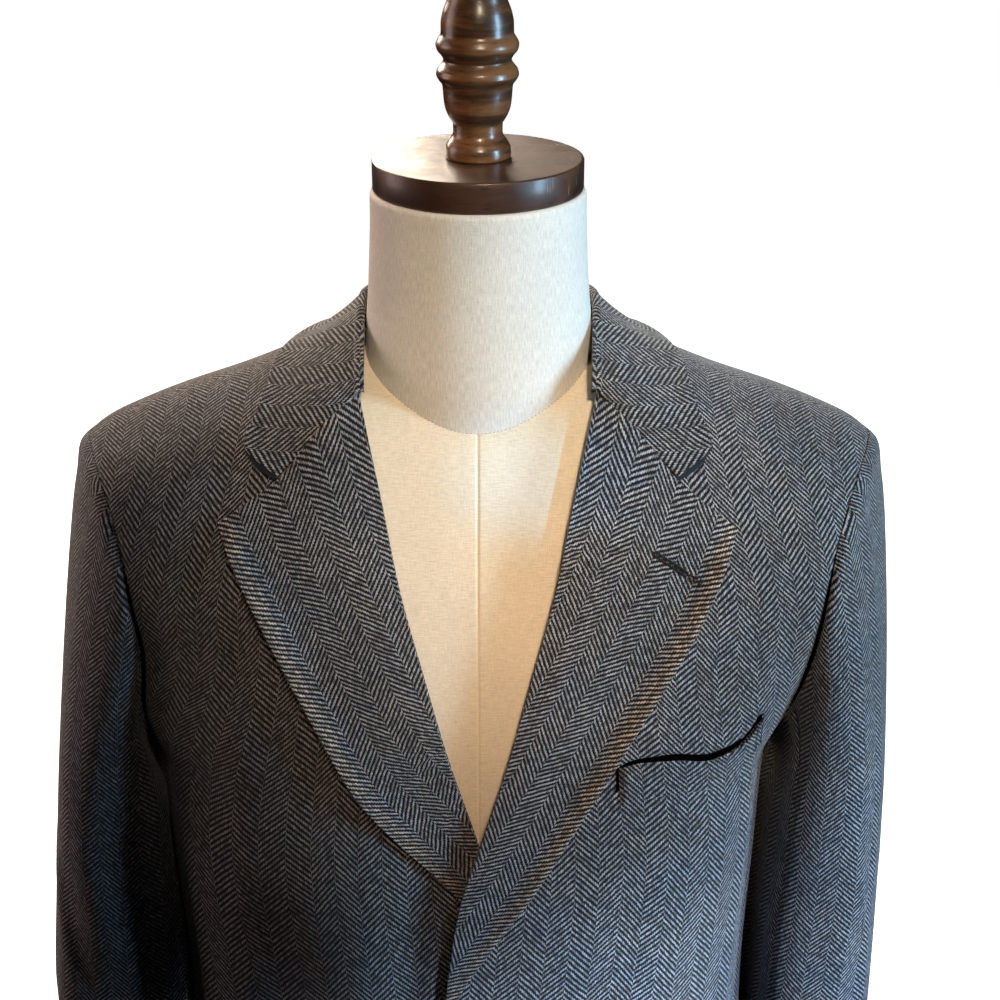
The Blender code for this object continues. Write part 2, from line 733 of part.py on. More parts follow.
def collar_section_curves():
    """Smooth curves of the collar's fold, stand foot, bend and edge along its length."""
    places = np.linspace(0, 1, len(COLLAR_STATIONS))
    tracks = {"fold": [], "foot": [], "bend": [], "edge": []}
    for row in COLLAR_STATIONS:
        fold = np.array((row.fold_x, row.fold_y, CAP_TOP_Z - row.fold_below))
        around = math.atan2(row.fold_x, row.fold_y)
        seam_radius = NECK_SEAM_RADIUS - STAND_INSET
        seat = neck_seam_height(around)
        foot = np.array((seam_radius * math.sin(around), seam_radius * math.cos(around), seat))
        if row.fold_y < STAND_END_Y:
            foot = fold - np.array((0.0, 0.0, STAND_END_DEPTH))
        tracks["fold"].append(fold)
        tracks["foot"].append(foot)
        tracks["bend"].append(raised_point(row.bend_x, row.bend_drop, row.bend_side, COLLAR_BEND_OUT))
        tracks["edge"].append(raised_point(row.edge_x, row.edge_drop, row.edge_side, COLLAR_OUT))
    return {
        name: [smooth_curve(places, [point[k] for point in track]) for k in range(3)]
        for name, track in tracks.items()
    }


def neck_seam_height(around):
    """Height of the neck seam at an angle from the nape."""
    nape = body_point(0.0, nape_drop(), BACK)[2]
    return nape + (NECK_POINT_Z - nape) * ease(around, 0.0, math.pi / 2) + 0.001


def collar_section(stations, place):
    fold, foot, bend, edge = (
        np.array([curve(place) for curve in stations[name]]) for name in ("fold", "foot", "bend", "edge")
    )
    outward = np.array((edge[0] - fold[0], edge[1] - fold[1], 0.0))
    outward /= np.linalg.norm(outward)
    half = COLLAR_FOLD_WIDTH / 2
    points = [foot, blend(foot, fold - half * outward, 0.5)]
    for turn in np.linspace(0, math.pi, COLLAR_FOLD_POINTS):
        rise = np.array((0.0, 0.0, half * math.sin(turn) - half))
        points.append(fold - outward * half * math.cos(turn) + rise)
    shoulder = points[-1]
    for t in np.linspace(0, 1, COLLAR_LEAF_POINTS)[1:]:
        points.append((1 - t) ** 2 * shoulder + 2 * t * (1 - t) * bend + t * t * edge)
    return np.array(points)


# ---------------------------------------------------------------- sleeves
def armhole_point(turn):
    """A point of the armhole seam, at a turn from its top towards the front."""
    angle = 2 * math.pi * turn
    side = FRONT if turn < 0.5 else BACK
    drop = ARMHOLE_DROP * (1 - math.cos(angle)) / 2
    return body_point(ARMHOLE_X[side](math.sqrt(drop)), drop, side) + ARMHOLE_SEAM * armhole_normal(turn)


def armhole_normal(turn):
    """The body's outward direction just inside the armhole seam."""
    side = FRONT if turn < 0.5 else BACK
    drop = ARMHOLE_DROP * (1 - math.cos(2 * math.pi * turn)) / 2
    return body_normal(ARMHOLE_X[side](math.sqrt(drop)) - 0.0015, drop, side)


def tube_point(curves, below, turn):
    """A point of the hanging sleeve at a level below the cap."""
    angle = 2 * math.pi * turn
    power = 2 / SLEEVE_SQUARENESS
    across = math.copysign(abs(math.cos(angle)) ** power, math.cos(angle))
    ahead = math.copysign(abs(math.sin(angle)) ** power, math.sin(angle))
    x = curves["centre_x"](below) + curves["half_x"](below) * across
    y = curves["centre_y"](below) - curves["half_y"](below) * ahead
    return np.array((x, y, CAP_TOP_Z - below))


def sleeve_fold(label, turn, below):
    depth = 0.0
    for row in SLEEVE_FOLDS:
        if row.sleeve == label:
            top = (row.turn_top, row.below_top)
            foot = (row.turn_foot, row.below_foot)
            depth += trough((turn, below), top, foot, row.spread, row.depth)
    return depth


def sleeve_column(label, curves, turn, top_level, cuff_level):
    """One line down the sleeve, from the armhole seam to the cuff."""
    angle = 2 * math.pi * turn
    start = armhole_point(turn % 1.0)
    end = tube_point(curves, top_level, turn)
    below = tube_point(curves, top_level + 0.02, turn)
    reach = start[2] - end[2]
    crown = max(math.cos(angle), 0.0)
    leave = np.array((SLEEVE_CROWN * crown, 0.0, -SLEEVE_FALL * reach))
    leave[:2] += SLEEVE_FULLNESS * (1 - crown) * armhole_normal(turn % 1.0)[:2]
    arrive = (below - end) / np.linalg.norm(below - end) * reach
    column = []
    for t in np.linspace(0, 1, SLEEVE_ROWS_CAP + 1) ** SLEEVE_CROWDING:
        column.append(
            (2 * t**3 - 3 * t * t + 1) * start
            + (t**3 - 2 * t * t + t) * leave
            + (-2 * t**3 + 3 * t * t) * end
            + (t**3 - t * t) * arrive
        )
    for level in np.linspace(top_level, cuff_level, SLEEVE_ROWS_TUBE + 1)[1:]:
        point = tube_point(curves, level, turn)
        inward = np.array((curves["centre_x"](level) - point[0], curves["centre_y"](level) - point[1], 0.0))
        inward /= np.linalg.norm(inward)
        column.append(point + inward * sleeve_fold(label, turn, level))
    return column


def sleeve_sheet(label, piece, rows, turn_from, turn_to, columns, collection):
    levels = [row.below for row in rows]
    curves = {key: smooth_curve(levels, [getattr(row, key) for row in rows]) for key in rows[0]._fields}
    turns = np.linspace(turn_from + SLEEVE_SEAM_TURN, turn_to - SLEEVE_SEAM_TURN, columns)
    grid = [sleeve_column(label, curves, turn, levels[0], levels[-1]) for turn in turns]
    name = f"sleeve_{label}_{piece}"
    return cloth_sheet(name, grid, flip=False, mirrored=label == "right", collection=collection)


# ---------------------------------------------------------------- the dress form
def torso_ring(drop):
    """One closed level of the form, front points then the same places on the back."""
    half = TORSO_POINTS // 2
    width = FORM["half_width"](math.sqrt(drop))
    neck_z = NECK_POINT_Z - CLOTH - REST_GAP
    front = level_row(drop, FRONT, -width, width, half + 1, FORM, neck_z)
    back = level_row(drop, BACK, -width, width, half + 1, FORM, neck_z)
    return np.concatenate((front, back[1:-1][::-1]))


def form_torso(collection, cutters):
    """Padded canvas body, closed at the arms, with the neck joined on."""
    drops = [0.0004, 0.0035, 0.0090, 0.0160, 0.0250, 0.0370, 0.0520, 0.0750, 0.1100, 0.1600]
    drops += [0.2100, 0.2600, 0.3300, 0.4200, 0.5200, 0.6300]
    drops.append(NECK_POINT_Z - CLOTH - REST_GAP - FORM_BOTTOM_Z)
    rings = np.array([torso_ring(drop) for drop in drops])
    count = rings.shape[1]
    faces = []
    for i in range(len(drops) - 1):
        for j in range(count):
            after = (j + 1) % count
            upper, lower = i * count, (i + 1) * count
            faces.append((upper + j, lower + j, lower + after, upper + after))
    last = (len(drops) - 1) * count
    for j in range(count // 2):
        across = (count - j) % count
        ladder = [j, j + 1, count - j - 1, across]
        ladder = list(dict.fromkeys(ladder))
        faces.append(tuple(ladder))
        faces.append(tuple(last + k for k in ladder[::-1]))
    torso = mesh_object("form_torso", rings.reshape(-1, 3), faces, "canvas", collection)
    neck = turned_object("neck_column", NECK_PROFILE, CAP_TOP_Z, "canvas", cutters, NECK_STEPS)
    neck.hide_render = True
    neck.display_type = "WIRE"
    join = torso.modifiers.new("Neck", "BOOLEAN")
    join.operation = "UNION"
    join.object = neck
    return torso


def neck_cap(collection):
    bpy.ops.mesh.primitive_cylinder_add(vertices=BASE_STEPS, radius=CAP_RADIUS, depth=CAP_HEIGHT)
    cap = bpy.context.object
    cap.location.z = CAP_TOP_Z - CAP_HEIGHT / 2
    cap.name = "neck_cap"
    cap.data.materials.append(make_material("dark_wood"))
    move_to(cap, collection)
    rounding = cap.modifiers.new("Edge", "BEVEL")
    rounding.width = CAP_EDGE
    rounding.segments = 1
    return cap


def move_to(part, collection):
    for owner in list(part.users_collection):
        owner.objects.unlink(part)
    collection.objects.link(part)


def front_button(name, drop, collection):
    place = raised_point(0.0, drop, FRONT, BUTTON_SEAT + BUTTON_HEIGHT / 2)
    facing = body_normal(0.0, drop, FRONT)
    bpy.ops.mesh.primitive_cylinder_add(vertices=BUTTON_SIDES, radius=BUTTON_RADIUS, depth=BUTTON_HEIGHT)
    button = bpy.context.object
    button.name = name
    button.location = place
    button.rotation_euler = (math.acos(facing[2]), 0.0, 0.0)
    button.data.materials.append(make_material("horn"))
    move_to(button, collection)
    rounding = button.modifiers.new("Rim", "BEVEL")
    rounding.width = BUTTON_HEIGHT / 4
    rounding.segments = 1
    return button


# ---------------------------------------------------------------- assembly
def build():
    for old in list(bpy.data.objects):
        bpy.data.objects.remove(old)
    parts = make_collection("tweed_hacking_jacket")
    cutters = make_collection("cutters")

    for name, mirrored, tuck in (("front_left", False, 0.0), ("front_right", True, FRONT_TUCK)):
        cloth_sheet(name, front_panel(name, tuck), True, mirrored, parts)
    cloth_sheet("back_left", back_panel("back_left", 0.0, 0.0), False, False, parts)
    cloth_sheet("back_right", back_panel("back_right", VENT_LAP, VENT_TUCK), False, True, parts)
    lapel_sheet("lapel_left", LEFT_LAPEL_EDGE, False, parts)
    lapel_sheet("lapel_right", RIGHT_LAPEL_EDGE, True, parts)
    collar_sheet(parts)
    for label, rows in (("left", LEFT_SLEEVE), ("right", RIGHT_SLEEVE)):
        sleeve_sheet(label, "top", rows, BACK_SEAM_TURN - 1, FRONT_SEAM_TURN, SLEEVE_TOP_COLUMNS, parts)
        sleeve_sheet(label, "under", rows, FRONT_SEAM_TURN, BACK_SEAM_TURN, SLEEVE_UNDER_COLUMNS, parts)
    lying_patch("breast_welt", WELT_FROM_X, WELT_TO_X, WELT_TOP_DROPS, WELT_HEIGHT, WELT_GAPE, False, parts)
    for label, mirrored in (("left", False), ("right", True)):
        name = f"flap_{label}"
        lying_patch(name, FLAP_FROM_X, FLAP_TO_X, FLAP_TOP_DROPS, FLAP_HEIGHT, 0.0, mirrored, parts)
    for label, drop in zip(("top", "middle", "bottom"), BUTTON_DROPS):
        front_button(f"button_{label}", drop, parts)

    form_torso(parts, cutters)
    neck_cap(parts)
    turned_object("finial", FINIAL_PROFILE, CAP_TOP_Z, "dark_wood", parts, WOOD_STEPS)
    turned_object("post", POST_PROFILE, BASE_HEIGHT + TOUCH_GAP, "dark_wood", parts, WOOD_STEPS)
    turned_object("base", BASE_PROFILE, 0.0, "dark_wood", parts, BASE_STEPS)


build()
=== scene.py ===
import math

import bpy
import bmesh
import numpy as np
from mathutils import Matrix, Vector


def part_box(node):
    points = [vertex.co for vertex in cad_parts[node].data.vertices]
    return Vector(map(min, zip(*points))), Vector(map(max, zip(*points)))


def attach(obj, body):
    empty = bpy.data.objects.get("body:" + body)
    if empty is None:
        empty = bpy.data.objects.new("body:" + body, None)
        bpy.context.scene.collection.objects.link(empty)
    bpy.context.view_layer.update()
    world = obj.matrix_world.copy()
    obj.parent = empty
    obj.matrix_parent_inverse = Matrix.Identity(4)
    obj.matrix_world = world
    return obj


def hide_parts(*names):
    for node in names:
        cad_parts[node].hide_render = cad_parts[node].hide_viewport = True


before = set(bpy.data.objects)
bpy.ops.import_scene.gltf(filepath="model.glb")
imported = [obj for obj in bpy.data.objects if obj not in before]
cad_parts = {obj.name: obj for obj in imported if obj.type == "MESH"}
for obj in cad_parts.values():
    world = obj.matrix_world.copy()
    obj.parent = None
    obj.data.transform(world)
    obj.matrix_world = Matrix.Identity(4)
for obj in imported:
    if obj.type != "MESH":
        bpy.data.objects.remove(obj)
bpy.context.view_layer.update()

front, back = -1, 1
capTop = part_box("neck_cap")[1].z
neckPoint = capTop - 0.106  # height of the shoulder ridge beside the neck
cloth = 0.0016  # thickness of the wall
seam = 0.0001  # half the slit between two panels
ridgeSeam = 0.00002  # the same along the shoulders and the sides
rimSteps = np.array([0.0011, 0.0026])  # close rows inside every edge, where its rim is rounded

studio = {
    "lens": 64.8,
    "sensor": 36.0,
    "pitch": 24.4,  # degrees below the horizon
    "place": (0.0124, -1.0034, 0.2428),  # height counted from the top of the neck cap
    "surround": (0.80, 0.87, 1.0),
    "surroundStrength": 0.007,
    "floorRadius": 40.0,
    "floorHeight": -0.0005,
    "floorColour": (0.86, 0.86, 0.86),
}
# name, place, aimed at, width, height, watts, colour; a spot has its cone and radius instead
lamps = [
    ("windowLight", (2.00, -0.80, 1.15), (0.0, -0.05, 0.78), 0.35, 1.3, 54.0, (0.45, 0.74, 1.0)),
    ("sideLight", (-2.00, 0.30, 1.20), (0.0, 0.0, 0.80), 1.0, 1.4, 13.5, (1.0, 0.76, 0.72)),
    ("backLight", (-0.80, 1.80, 1.80), (0.0, 0.05, 0.80), 1.6, 1.2, 62.0, (1.0, 0.84, 0.68)),
    ("topSpot", (0.30, -1.50, 2.10), (0.062, -0.05, 0.89), 18.0, 0.10, 109.0, (1.0, 0.83, 0.61)),
    ("neckSpot", (1.15, -1.35, 1.50), (0.030, -0.08, 0.848), 3.0, 0.01, 80.0, (0.05, 0.50, 1.0)),
    ("chestSpot", (0.10, -1.50, 1.90), (0.012, -0.08, 0.72), 9.5, 0.10, 62.0, (1.0, 0.66, 0.44)),
    ("lowSpot", (1.10, -1.40, 1.20), (0.235, -0.08, 0.50), 14.0, 0.10, 131.0, (0.58, 0.73, 1.0)),
    ("hemSpot", (1.10, -1.40, 1.20), (0.045, -0.13, 0.45), 9.5, 0.06, 185.0, (0.60, 0.76, 1.0)),
]


def addObject(name, data):
    made = bpy.data.objects.new(name, data)
    bpy.context.scene.collection.objects.link(made)
    return made


def addCamera():
    data = bpy.data.cameras.new("camera")
    data.lens = studio["lens"]
    data.sensor_width = studio["sensor"]
    data.clip_end = 100
    camera = addObject("camera", data)
    x, y, above = studio["place"]
    camera.location = (x, y, capTop + above)
    camera.rotation_euler = (math.radians(90 - studio["pitch"]), 0, 0)
    bpy.context.scene.camera = camera


def addLamps():
    for name, place, target, width, height, watts, colour in lamps:
        data = bpy.data.lights.new(name, "SPOT" if name.endswith("Spot") else "AREA")
        if data.type == "SPOT":
            data.spot_size = math.radians(width)
            data.spot_blend = 1.0
            data.shadow_soft_size = height
        else:
            data.shape = "RECTANGLE"
            data.size = width
            data.size_y = height
        data.energy = watts
        data.color = colour
        lamp = addObject(name, data)
        lamp.location = place
        lamp.rotation_euler = (Vector(target) - Vector(place)).to_track_quat("-Z", "Y").to_euler()


def addSurround():
    # white to the camera, and a faint cool light from all sides to the object
    world = bpy.data.worlds.new("surround")
    bpy.context.scene.world = world
    world.use_nodes = True
    world.node_tree.nodes.clear()
    add = Nodes(world.node_tree).add
    seen = add("ShaderNodeBackground", {"Color": (1, 1, 1, 1)})
    glow = add(
        "ShaderNodeBackground",
        {"Color": (*studio["surround"], 1), "Strength": studio["surroundStrength"]},
    )
    toCamera = add("ShaderNodeLightPath", output="Is Camera Ray")
    mixed = add("ShaderNodeMixShader", (toCamera, glow, seen))
    add("ShaderNodeOutputWorld", {"Surface": mixed}, None)


def addFloor():
    floor = addObject("floor", bpy.data.meshes.new("floor"))
    shape = bmesh.new()
    bmesh.ops.create_circle(shape, cap_ends=True, segments=96, radius=studio["floorRadius"])
    shape.to_mesh(floor.data)
    shape.free()
    floor.location.z = studio["floorHeight"]
    glow = {"Emission_Color": (1, 1, 1, 1), "Emission_Strength": 1.0}
    paint = Finish("paleFloor").finish(studio["floorColour"], 0.9, Specular_IOR_Level=0.1, **glow)
    floor.data.materials.append(paint)
    floor.visible_diffuse = False  # a bright floor would light the cloth from below
    floor.visible_glossy = False


def hermite(t, start, leaving, end, arriving):
    # a cubic from one value to another that leaves and arrives at the given rates
    first = (2 * t**3 - 3 * t * t + 1) * start + (t**3 - 2 * t * t + t) * leaving
    return first + (-2 * t**3 + 3 * t * t) * end + (t**3 - t * t) * arriving


def smoothCurve(keys, values):
    # a monotone cubic through the points, level past both ends
    keys = np.asarray(keys, float)
    values = np.asarray(values, float)
    steps = np.diff(keys)
    slopes = np.diff(values) / steps
    tangents = np.zeros(len(keys))
    tangents[0] = slopes[0]
    tangents[-1] = slopes[-1]
    for i in range(1, len(keys) - 1):
        if slopes[i - 1] * slopes[i] > 0:
            before = 2 * steps[i] + steps[i - 1]
            after = steps[i] + 2 * steps[i - 1]
            tangents[i] = (before + after) / (before / slopes[i - 1] + after / slopes[i])

    def read(key):
        key = np.clip(key, keys[0], keys[-1])
        i = np.clip(np.searchsorted(keys, key) - 1, 0, len(steps) - 1)
        t = (key - keys[i]) / steps[i]
        return hermite(t, values[i], tangents[i] * steps[i], values[i + 1], tangents[i + 1] * steps[i])

    return read


def ease(value, low, high):
    # from 0 at the low value to 1 at the high one
    t = np.clip((value - low) / (high - low), 0, 1)
    return t * t * (3 - 2 * t)


def unit(vectors):
    return vectors / np.linalg.norm(vectors, axis=-1, keepdims=True)


def lengthAlong(points):
    # how far along a line each of its points lies
    return np.concatenate(([0.0], np.cumsum(np.linalg.norm(np.diff(points, axis=0), axis=1))))


def tableCurves(rows, names):
    columns = np.array(rows, float).T
    keys = np.sqrt(columns[0])
    return {name: smoothCurve(keys, column) for name, column in zip(names, columns[1:])}


# the body that the jacket is cut to, and the form in it: drop below the shoulder ridge, then half
# width, chest depth, back depth and squareness of the level
levelNames = ("halfWidth", "front", "back", "squareness")
jacket = tableCurves(
    [
        (0.000, 0.242, 0.000, 0.000, 5.0),
        (0.005, 0.242, 0.030, 0.032, 5.0),
        (0.012, 0.241, 0.050, 0.054, 5.0),
        (0.022, 0.240, 0.068, 0.074, 5.0),
        (0.040, 0.237, 0.086, 0.090, 4.8),
        (0.070, 0.231, 0.101, 0.103, 4.6),
        (0.110, 0.221, 0.113, 0.114, 4.2),
        (0.160, 0.207, 0.122, 0.121, 3.7),
        (0.210, 0.191, 0.129, 0.124, 3.3),
        (0.250, 0.179, 0.133, 0.123, 3.0),
        (0.320, 0.177, 0.138, 0.117, 2.9),
        (0.420, 0.174, 0.140, 0.109, 2.8),
        (0.520, 0.178, 0.146, 0.114, 2.7),
        (0.640, 0.184, 0.153, 0.126, 2.6),
        (0.780, 0.189, 0.158, 0.133, 2.6),
    ],
    levelNames,
)
form = tableCurves(
    [
        (0.000, 0.226, 0.000, 0.000, 4.0),
        (0.005, 0.224, 0.020, 0.022, 4.0),
        (0.012, 0.221, 0.038, 0.041, 4.0),
        (0.022, 0.216, 0.056, 0.060, 4.0),
        (0.032, 0.211, 0.067, 0.071, 4.0),
        (0.046, 0.205, 0.079, 0.080, 3.8),
        (0.075, 0.196, 0.092, 0.091, 3.6),
        (0.110, 0.189, 0.103, 0.102, 3.4),
        (0.160, 0.180, 0.112, 0.109, 3.1),
        (0.210, 0.172, 0.118, 0.112, 2.9),
        (0.260, 0.164, 0.122, 0.111, 2.7),
        (0.320, 0.158, 0.125, 0.105, 2.6),
        (0.420, 0.154, 0.126, 0.096, 2.5),
        (0.520, 0.158, 0.132, 0.102, 2.5),
        (0.640, 0.166, 0.139, 0.113, 2.5),
        (0.800, 0.171, 0.143, 0.119, 2.5),
    ],
    levelNames,
)
# how far the shoulder ridge has fallen at a distance from the middle
ridgeFall = smoothCurve(
    [0.000, 0.080, 0.107, 0.1425, 0.183, 0.207, 0.224, 0.2360, 0.250],
    [0.0000, 0.0008, 0.0096, 0.0228, 0.0362, 0.0456, 0.0534, 0.0622, 0.0760],
)
nape = {"rise": 0.018, "width": 0.075, "drop": 0.030}
levellingDrop = 0.300  # the shoulders' slope is spent at this drop

armhole = {
    "drop": 0.250,
    "seam": 0.0010,
    "drops": [0.000, 0.006, 0.018, 0.040, 0.070, 0.110, 0.150, 0.190, 0.225, 0.250],
    front: [0.2360, 0.2290, 0.2200, 0.2100, 0.2030, 0.1980, 0.1940, 0.1890, 0.1830, 0.1788],
    back: [0.2360, 0.2320, 0.2260, 0.2190, 0.2130, 0.2080, 0.2030, 0.1950, 0.1860, 0.1788],
}
armholeX = {side: smoothCurve(np.sqrt(armhole["drops"]), armhole[side]) for side in (front, back)}


def levelHeight(x, drop, side, topZ):
    z = topZ - drop - ridgeFall(np.abs(x)) * (1 - ease(drop, 0.0, levellingDrop))
    if side == back:
        swell = drop / nape["drop"] * np.exp(1 - drop / nape["drop"])
        z = z + nape["rise"] * swell * np.exp(-((x / nape["width"]) ** 2))
    return z


def bodyPoint(x, drop, side, shape=jacket, topZ=neckPoint):
    x, drop = np.broadcast_arrays(np.asarray(x, float), np.asarray(drop, float))
    key = np.sqrt(np.maximum(drop, 0))
    n = shape["squareness"](key)
    depth = shape["front" if side == front else "back"](key)
    across = np.minimum(np.abs(x) / shape["halfWidth"](key), 1)
    y = side * depth * (1 - across**n) ** (1 / n)
    return np.stack([x, y, levelHeight(x, drop, side, topZ)], -1)


def bodyNormal(x, drop, side):
    step = 0.0004
    across = bodyPoint(x + step, drop, side) - bodyPoint(x - step, drop, side)
    down = bodyPoint(x, drop + step, side) - bodyPoint(x, np.maximum(drop - step, 0), side)
    normal = unit(np.cross(across, down))
    outward = (normal[..., 1] * side > 0) | (normal[..., 2] > 0.7)
    return np.where(outward[..., None], normal, -normal)


def raisedPoint(x, drop, side, out):
    return bodyPoint(x, drop, side) + np.asarray(out)[..., None] * bodyNormal(x, drop, side)


def levelOutline(drop, side, shape=jacket):
    # points of one level from its middle to its side, and how far round each lies
    key = math.sqrt(max(drop, 0))
    halfWidth = shape["halfWidth"](key)
    n = shape["squareness"](key)
    depth = shape["front" if side == front else "back"](key)
    turn = np.linspace(math.pi / 2, 0, 400)
    x = halfWidth * np.abs(np.cos(turn)) ** (2 / n)
    x[0] = 0.0
    y = depth * np.abs(np.sin(turn)) ** (2 / n)
    x = np.concatenate((np.linspace(0, x[1], 30)[:-1], x[1:]))
    y = np.concatenate((np.full(29, y[0]), y[1:]))
    far = np.concatenate(([0.0], np.cumsum(np.hypot(np.diff(x), np.diff(y)))))
    return x, side * y, far


def pointsRound(drop, side, places, shape=jacket, topZ=neckPoint):
    # points of one level at signed distances round from its middle
    x, y, far = levelOutline(drop, side, shape)
    atX = np.copysign(np.interp(np.abs(places), far, x), places)
    atY = np.interp(np.abs(places), far, y)
    return np.stack([atX, atY, levelHeight(atX, drop, side, topZ)], -1)


def roundAt(drop, side, atX):
    x, _, far = levelOutline(drop, side)
    return math.copysign(float(np.interp(abs(atX), x, far)), atX)


def evenDrops(side):
    # drops from shoulder to hem whose points lie evenly spaced down the surface
    fine = panels["hemDrop"] * np.linspace(0, 1, 3000) ** 2
    length = lengthAlong(bodyPoint(panels["spacedAtX"], fine, side))
    even = np.linspace(0, length[-1], int(length[-1] / panels["spacing"]) + 1)
    return np.interp(np.unique(np.concatenate((even, rimSteps, length[-1] - rimSteps))), length, fine)


def edgedFractions(count, width):
    # even fractions of a width, and the close ones inside its ends
    close = rimSteps / width
    return np.unique(np.concatenate((np.linspace(0, 1, count), close, 1 - close)))


def linkMesh(name, points, faces, uv=None):
    mesh = bpy.data.meshes.new(name)
    mesh.from_pydata(np.asarray(points, float).reshape(-1, 3).tolist(), [], faces)
    if uv is not None:
        layer = mesh.uv_layers.new(name="weave")
        loops = np.zeros(len(mesh.loops), int)
        mesh.loops.foreach_get("vertex_index", loops)
        layer.data.foreach_set("uv", np.asarray(uv, np.float32).reshape(-1, 2)[loops].ravel())
    mesh.update()
    return addObject(name, mesh)


def gridFaces(rows, columns, flip=False, closed=False):
    i, j = np.meshgrid(np.arange(rows - 1), np.arange(columns if closed else columns - 1), indexing="ij")
    after = (j + 1) % columns
    corners = ((i, j), (i, after), (i + 1, after), (i + 1, j))
    quads = np.stack([row * columns + column for row, column in corners], -1)
    if flip:
        quads = quads[..., ::-1]
    return quads.reshape(-1, 4).tolist()


def settle(piece):
    # the evaluated mesh takes the place of the modifiers
    bpy.context.view_layer.update()
    graph = bpy.context.evaluated_depsgraph_get()
    seen = piece.evaluated_get(graph)
    mesh = bpy.data.meshes.new_from_object(seen, preserve_all_data_layers=True, depsgraph=graph)
    piece.modifiers.clear()
    piece.data = mesh
    mesh.name = piece.name
    return piece


def finishPiece(piece, material, slotName, *replaced):
    piece.data.materials.clear()
    piece.data.materials.append(material)
    piece.data.shade_smooth()
    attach(piece, "root")
    if replaced:
        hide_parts(*replaced)
    return piece


def gridNormals(grid, row, column, outward):
    # the normals of the outer face, told by the one at a row and column
    along = np.gradient(grid, axis=0)
    across = np.gradient(grid, axis=1)
    normal = np.cross(across, along)
    normal /= np.maximum(np.linalg.norm(normal, axis=-1, keepdims=True), 1e-12)
    return normal * np.sign(np.dot(normal[row, column], outward))


def gridDistances(grid):
    # how far each point lies from the grid's four edges: top, foot, first and last column
    down = np.linalg.norm(np.diff(grid, axis=0), axis=-1)
    over = np.linalg.norm(np.diff(grid, axis=1), axis=-1)
    fromTop = np.concatenate((np.zeros((1, grid.shape[1])), np.cumsum(down, axis=0)))
    fromFirst = np.concatenate((np.zeros((grid.shape[0], 1)), np.cumsum(over, axis=1)), axis=1)
    return fromTop, fromTop[-1] - fromTop, fromFirst, fromFirst[:, -1:] - fromFirst


def clothPiece(name, grid, weave, flip, mirrored, thickness=cloth, rim=0.0005):
    # a closed cloth wall whose outer face is the grid
    grid = grid.copy()
    weave = weave.copy()
    if mirrored:
        grid[..., 0] *= -1
        weave[..., 0] *= -1
    rows, columns = grid.shape[:2]
    piece = linkMesh(name, grid, gridFaces(rows, columns, flip != mirrored), weave)
    wall = piece.modifiers.new("wall", "SOLIDIFY")
    wall.thickness = thickness
    wall.offset = -1
    rounding = piece.modifiers.new("rim", "BEVEL")
    rounding.width = rim
    rounding.segments = 2
    rounding.limit_method = "ANGLE"
    rounding.angle_limit = math.radians(50)
    return settle(piece)


def trough(across, along, top, foot, spread, depth):
    # a soft fold from its top to its foot, in the piece's own two coordinates
    run = (along - top[1]) / (foot[1] - top[1])
    inside = (run > 0) & (run < 1)
    away = (across - top[0] - (foot[0] - top[0]) * run) / spread
    return depth * np.sin(np.pi * np.clip(run, 0, 1)) * np.maximum(1 - away**2, 0) ** 2 * inside


# how the herringbone lies on the cloth
grain = {
    "lean": 0.026,  # the bands lean towards the neck over the shoulder
    "leanDrop": 0.120,
    "waistLean": 0.012,  # and away from it at the waist, and back
    "waistDrops": (0.27, 0.47, 0.75),
    "waistReturn": 0.8,
    "opening": 0.16,  # the cloth is eased wider below the chest
    "openingDrops": (0.13, 0.30),
    "zeroDrop": 0.120,
    "deepest": 0.80,  # how far down and round the body its length is worked out
    "widest": 0.36,
    "sleeveWidest": 0.30,
}


def bilinear(table, i, j):
    # a table read between its rows and columns
    i = np.clip(i, 0, table.shape[0] - 1.0001)
    j = np.clip(j, 0, table.shape[1] - 1.0001)
    i0 = i.astype(int)
    j0 = j.astype(int)
    di = i - i0
    dj = j - j0
    upper = table[i0, j0] * (1 - dj) + table[i0, j0 + 1] * dj
    lower = table[i0 + 1, j0] * (1 - dj) + table[i0 + 1, j0 + 1] * dj
    return upper * (1 - di) + lower * di


def easing(drop):
    return 1 + grain["opening"] * ease(drop, *grain["openingDrops"])


def grainTable(side):
    # the cloth's length down the body, by drop and by the distance round from the middle
    drops = grain["deepest"] * np.linspace(0, 1, 220) ** 2
    places = np.linspace(0, grain["widest"], 73)
    points = np.array([pointsRound(drop, side, places) for drop in drops])
    steps = np.linalg.norm(np.diff(points, axis=0), axis=-1) / easing(drops[1:])[:, None]
    length = np.concatenate((np.zeros((1, len(places))), np.cumsum(steps, axis=0)))
    zero = np.array([np.interp(grain["zeroDrop"], drops, column) for column in length.T])
    return length - zero


grainTables = {side: grainTable(side) for side in (front, back)}


def bodyWeave(side, drop, far):
    # across the bands and along them, at a place on the body
    start, turn, end = grain["waistDrops"]
    atWaist = ease(drop, start, turn) - grain["waistReturn"] * ease(drop, turn, end)
    lean = grain["lean"] * (1 - ease(drop, 0, grain["leanDrop"])) + grain["waistLean"] * atWaist
    table = grainTables[side]
    i = np.sqrt(np.maximum(drop, 0) / grain["deepest"]) * (table.shape[0] - 1)
    v = bilinear(table, i, np.abs(far) / grain["widest"] * (table.shape[1] - 1))
    return np.stack([(far + lean) / easing(drop), -v], -1)


